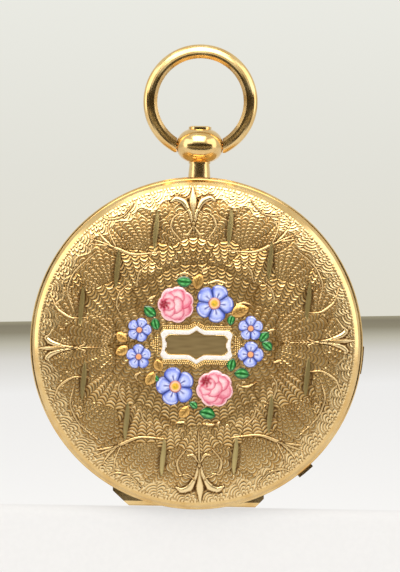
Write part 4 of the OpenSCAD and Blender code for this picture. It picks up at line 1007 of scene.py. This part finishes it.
def addFigures():
    low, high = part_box("dial")
    top, radius = -low.y / mm, (high.x - low.x) / 2 / mm
    thick, line = figures["thick"], figures["line"]
    bm = bmesh.new()
    for hour, text in enumerate(figures["numerals"]):
        mesh = numeralMesh(text)
        spots = [v.co for v in mesh.vertices]
        middle = Vector([(min(c[i] for c in spots) + max(c[i] for c in spots)) / 2 for i in range(3)])
        size = figures["tall"] / (max(c.y for c in spots) - min(c.y for c in spots))
        mesh.transform(Matrix.Rotation(-hour * math.pi / 6, 4, "Z")
                       @ Matrix.Translation((0, figures["numeralRadius"] * radius, top + thick / 2))
                       @ Matrix.Diagonal((size * figures["narrow"], size, thick, 1))
                       @ Matrix.Translation(-middle))
        bm.from_mesh(mesh)
        bpy.data.meshes.remove(mesh)
    inner, outer = (part * radius for part in figures["trackRadius"])
    for middle in (inner, outer):
        addRing(bm, middle - line / 2, middle + line / 2, top - 0.01, top + thick)
    for minute in range(60):
        made = bmesh.ops.create_cube(bm, size=1)["verts"]
        wide = figures["minuteWide"] if minute % 5 else figures["fifthWide"]
        bmesh.ops.transform(bm, verts=made, matrix=Matrix.Rotation(-minute * math.pi / 30, 4, "Z")
                            @ Matrix.Translation((0, (inner + outer) / 2, top + thick / 2 - 0.005))
                            @ Matrix.Diagonal((wide, outer - inner, thick + 0.01, 1)))
    bmesh.ops.remove_doubles(bm, verts=bm.verts[:], dist=1e-5)
    bmesh.ops.recalc_face_normals(bm, faces=bm.faces[:])
    bm.transform(inCase)
    placePiece(newMesh("dial_figures", bm), "case", finishes["figures"], smooth=False)


addFigures()
print("dial figures")


# Camera, light and floor

view = {
    "elevation": 2.0,
    "lean": 0.95,      # the camera is held this much askew, so that the watch leans to the right
    "distance": 0.45,
    "lens": 246.6,
    "right": 0.4,      # middle of the picture from the middle of the case, along the camera's own sides
    "up": 6.49,
}
tilt = Matrix.Rotation(math.radians(90 - view["elevation"]), 4, "X")
tilt = tilt @ Matrix.Rotation(math.radians(view["lean"]), 4, "Z")
fromCase = tilt @ Vector((view["right"] * mm, view["up"] * mm, view["distance"]))
cameraData = bpy.data.cameras.new("camera")
cameraData.sensor_width = 36
cameraData.lens = view["lens"]
cameraData.clip_start, cameraData.clip_end = 0.01, 10
camera = newObject("camera", cameraData)
camera.location = Vector((0, 0, watch["caseHeight"] * mm)) + fromCase
camera.rotation_euler = tilt.to_euler()
bpy.context.scene.camera = camera

stage = {
    "floorCorners": [(-0.5, -0.5), (0.5, -0.5), (0.5, 1.144), (-0.5, 0.414)],  # its back edge slants
    "floorDrop": 0.012,         # the floor lies lower, so that the open covers clear it
    "ridge": (0.3, 0.0039),     # a stretched fold of cloth that the watch stands on
    "ridgeRound": 0.0012,
    "backdrop": [(0.0, "#dfdccf"), (0.35, "#e2e1d8"), (1.0, "#f0f1eb")],  # painted shade: the backdrop darkens towards its foot; colours from its foot upward
    "backdropHeight": (-0.05, 0.075),   # the same, as the slope of the line of sight
    "room": ("#f2efe9", 0.8),   # colour and strength of the light from all round
    "cloth": ("#efeeec", "#f4f3f1"),
    "fold": ("#c4c2bf", "#cbc9c6"),     # painted shade: darker threads, as the fold's face stands up to the light
    "glow": 0.9,
    "glowPart": 0.7,
    # a painted shadow at the foot of the backdrop: the cloth darkens towards its back edge; metres from the
    # edge, colour
    "shade": [(0.0, "#a39c80"), (0.03, "#857d66"), (0.075, "#8f8870"), (0.14, "#c4c0ae"), (0.22, "#e6e4de"),
              (0.36, "#ffffff")],
}


def seenDirectly(tree):
    # 1 for what the camera sees, also in the gold and through glass, and 0 for the light on the watch
    rays = addNode(tree, "ShaderNodeLightPath").outputs
    seen = rays["Is Camera Ray"]
    for other in ("Is Glossy Ray", "Is Transmission Ray"):
        seen = addNode(tree, "ShaderNodeMath", {"operation": "MAXIMUM"}, {0: seen, 1: rays[other]}).outputs[0]
    return seen


def clothMaterial(name, threads):
    # White cotton cloth, plain weave of 0.3 mm threads, drawn at 0.6 mm so that it shows
    material, tree, shader = newMaterial(name, Roughness=0.9, Sheen_Weight=0.2)
    # how far each point lies before the floor's slanting back edge
    coordinates = addNode(tree, "ShaderNodeTexCoord").outputs["Object"]
    spot = addNode(tree, "ShaderNodeSeparateXYZ", links={"Vector": coordinates})
    (leftX, leftY), (rightX, rightY) = stage["floorCorners"][3], stage["floorCorners"][2]
    slant = (rightY - leftY) / (rightX - leftX)
    edge = addNode(tree, "ShaderNodeMath", {"operation": "MULTIPLY_ADD", 1: slant, 2: leftY - slant * leftX},
                   {0: spot.outputs["X"]})
    depth = addNode(tree, "ShaderNodeMath", {"operation": "SUBTRACT"},
                    {0: edge.outputs[0], 1: spot.outputs["Y"]})
    # the painted shadow at the foot of the backdrop
    shades = addNode(tree, "ShaderNodeValToRGB", None, {"Fac": depth.outputs[0]}, stage["shade"])
    shade = shades.outputs["Color"]
    weave = clouds(tree, 0.0006)
    white = addNode(tree, "ShaderNodeValToRGB", None, {"Fac": weave},
                    [(0.35, threads[0]), (0.65, threads[1])])
    base = addNode(tree, "ShaderNodeMix", {"data_type": "RGBA", "blend_type": "MULTIPLY", 0: 1.0},
                   {6: white.outputs["Color"], 7: shade})
    bump = addNode(tree, "ShaderNodeBump", {"Strength": 0.1, "Distance": 1e-4}, {"Height": weave})
    tree.links.new(base.outputs[2], shader.inputs["Base Color"])
    tree.links.new(bump.outputs["Normal"], shader.inputs["Normal"])
    # seen directly the cloth partly glows, evenly bright but darkened by the painted shadow
    part = addNode(tree, "ShaderNodeMath", {"operation": "MULTIPLY", 1: stage["glowPart"]},
                   {0: seenDirectly(tree)})
    glow = addNode(tree, "ShaderNodeEmission", {"Strength": stage["glow"]}, {"Color": shade})
    mix = addNode(tree, "ShaderNodeMixShader", None,
                  {0: part.outputs[0], 1: shader.outputs[0], 2: glow.outputs[0]})
    tree.links.new(mix.outputs[0], tree.nodes["Material Output"].inputs["Surface"])
    return material


def stagePiece(bm, name, material):
    piece = newObject(name, newMesh(name, bm))
    piece.data.materials.append(material)
    return piece


bm = bmesh.new()
bm.faces.new([bm.verts.new((x, y, -stage["floorDrop"])) for x, y in stage["floorCorners"]])
stagePiece(bm, "floor", clothMaterial("white cotton cloth", stage["cloth"]))

bm = bmesh.new()
bmesh.ops.create_cube(bm, size=1)
drop = stage["floorDrop"]
bm.transform(Matrix.Translation((0, 0, -drop / 2)) @ Matrix.Diagonal((*stage["ridge"], drop, 1)))
fold = [e for e in bm.edges if abs(e.verts[0].co.x - e.verts[1].co.x) > 0.1 and e.verts[0].co.z > -0.001]
bmesh.ops.bevel(bm, geom=fold, offset=stage["ridgeRound"], segments=6, profile=0.5, affect="EDGES",
                material=-1)
# cloth with darker threads: painted shade on the fold's face
ridge = stagePiece(bm, "ridge", clothMaterial("white cotton cloth, folded, in painted shade", stage["fold"]))
ridge.data.shade_smooth()
ridge.data.set_sharp_from_angle(angle=sharpAngle)

card = {
    "forward": 0.085,         # how far before the watch it stands
    "middle": 0.0285,
    "size": (0.35, 0.081),
    # painted reflections, darker above, behind the bow: height in metres, colour
    "shades": [(0.002, "#2b261d"), (0.017, "#7c745f"), (0.025, "#b4aa91"), (0.0295, "#c2b89e"),
               (0.036, "#36311f")],
}


def addCard():
    # A card that shows only in reflections: it paints the dark reflections that give the gold its dark bands
    material, tree, shader = newMaterial("dark studio card", Roughness=0.9)
    coordinates = addNode(tree, "ShaderNodeTexCoord").outputs["Object"]
    spot = addNode(tree, "ShaderNodeSeparateXYZ", links={"Vector": coordinates})
    shades = addNode(tree, "ShaderNodeValToRGB", None, {"Fac": spot.outputs["Z"]}, card["shades"])
    tree.links.new(shades.outputs["Color"], shader.inputs["Base Color"])
    bm = bmesh.new()
    bmesh.ops.create_grid(bm, x_segments=4, y_segments=4, size=0.5)
    bm.transform(Matrix.Translation((0, -card["forward"], card["middle"]))
                 @ Matrix.Rotation(math.radians(90), 4, "X") @ Matrix.Diagonal((*card["size"], 1, 1)))
    piece = stagePiece(bm, "camera_card", material)
    piece.visible_camera = piece.visible_diffuse = piece.visible_shadow = piece.visible_transmission = False


addCard()

lights = {   # place, size, watts and colour of each
    "soft box above": ((-0.02, -0.19, 0.27), (0.3, 0.2), 0.96, "#fff8ee"),
    "soft box left": ((-0.30, -0.16, 0.10), (0.3, 0.34), 0.47, "#fffaf2"),
    "soft box right": ((0.30, -0.14, 0.12), (0.3, 0.34), 0.45, "#f6f8ff"),
}
aim = Vector((0, 0, 0.02))   # all point at the watch
for name, (spot, size, power, colour) in lights.items():
    data = bpy.data.lights.new(name, "AREA")
    data.shape = "RECTANGLE"
    data.size, data.size_y = size
    data.energy = power
    data.color = linear(colour)[:3]
    light = newObject(name, data)
    light.location = spot
    light.rotation_mode = "QUATERNION"
    light.rotation_quaternion = (aim - Vector(spot)).to_track_quat("-Z", "Y")


def makeWorld():
    # The room's even light, and behind the watch the backdrop as the camera sees it
    world = bpy.data.worlds.new("studio")
    bpy.context.scene.world = world
    world.use_nodes = True
    tree = world.node_tree
    tree.nodes.clear()
    colour, strength = stage["room"]
    room = addNode(tree, "ShaderNodeBackground", {"Color": linear(colour), "Strength": strength})
    toward = addNode(tree, "ShaderNodeTexCoord").outputs["Generated"]
    slope = addNode(tree, "ShaderNodeSeparateXYZ", links={"Vector": toward}).outputs["Z"]
    low, high = stage["backdropHeight"]
    part = addNode(tree, "ShaderNodeMapRange", {"From Min": low, "From Max": high}, {"Value": slope})
    shades = addNode(tree, "ShaderNodeValToRGB", None, {"Fac": part.outputs["Result"]}, stage["backdrop"])
    back = addNode(tree, "ShaderNodeBackground", {"Strength": 1.0}, {"Color": shades.outputs["Color"]})
    mix = addNode(tree, "ShaderNodeMixShader", None,
                  {0: seenDirectly(tree), 1: room.outputs[0], 2: back.outputs[0]})
    output = addNode(tree, "ShaderNodeOutputWorld")
    tree.links.new(mix.outputs[0], output.inputs["Surface"])


makeWorld()
bpy.context.scene.view_settings.view_transform = "Standard"
print("camera, light and floor")
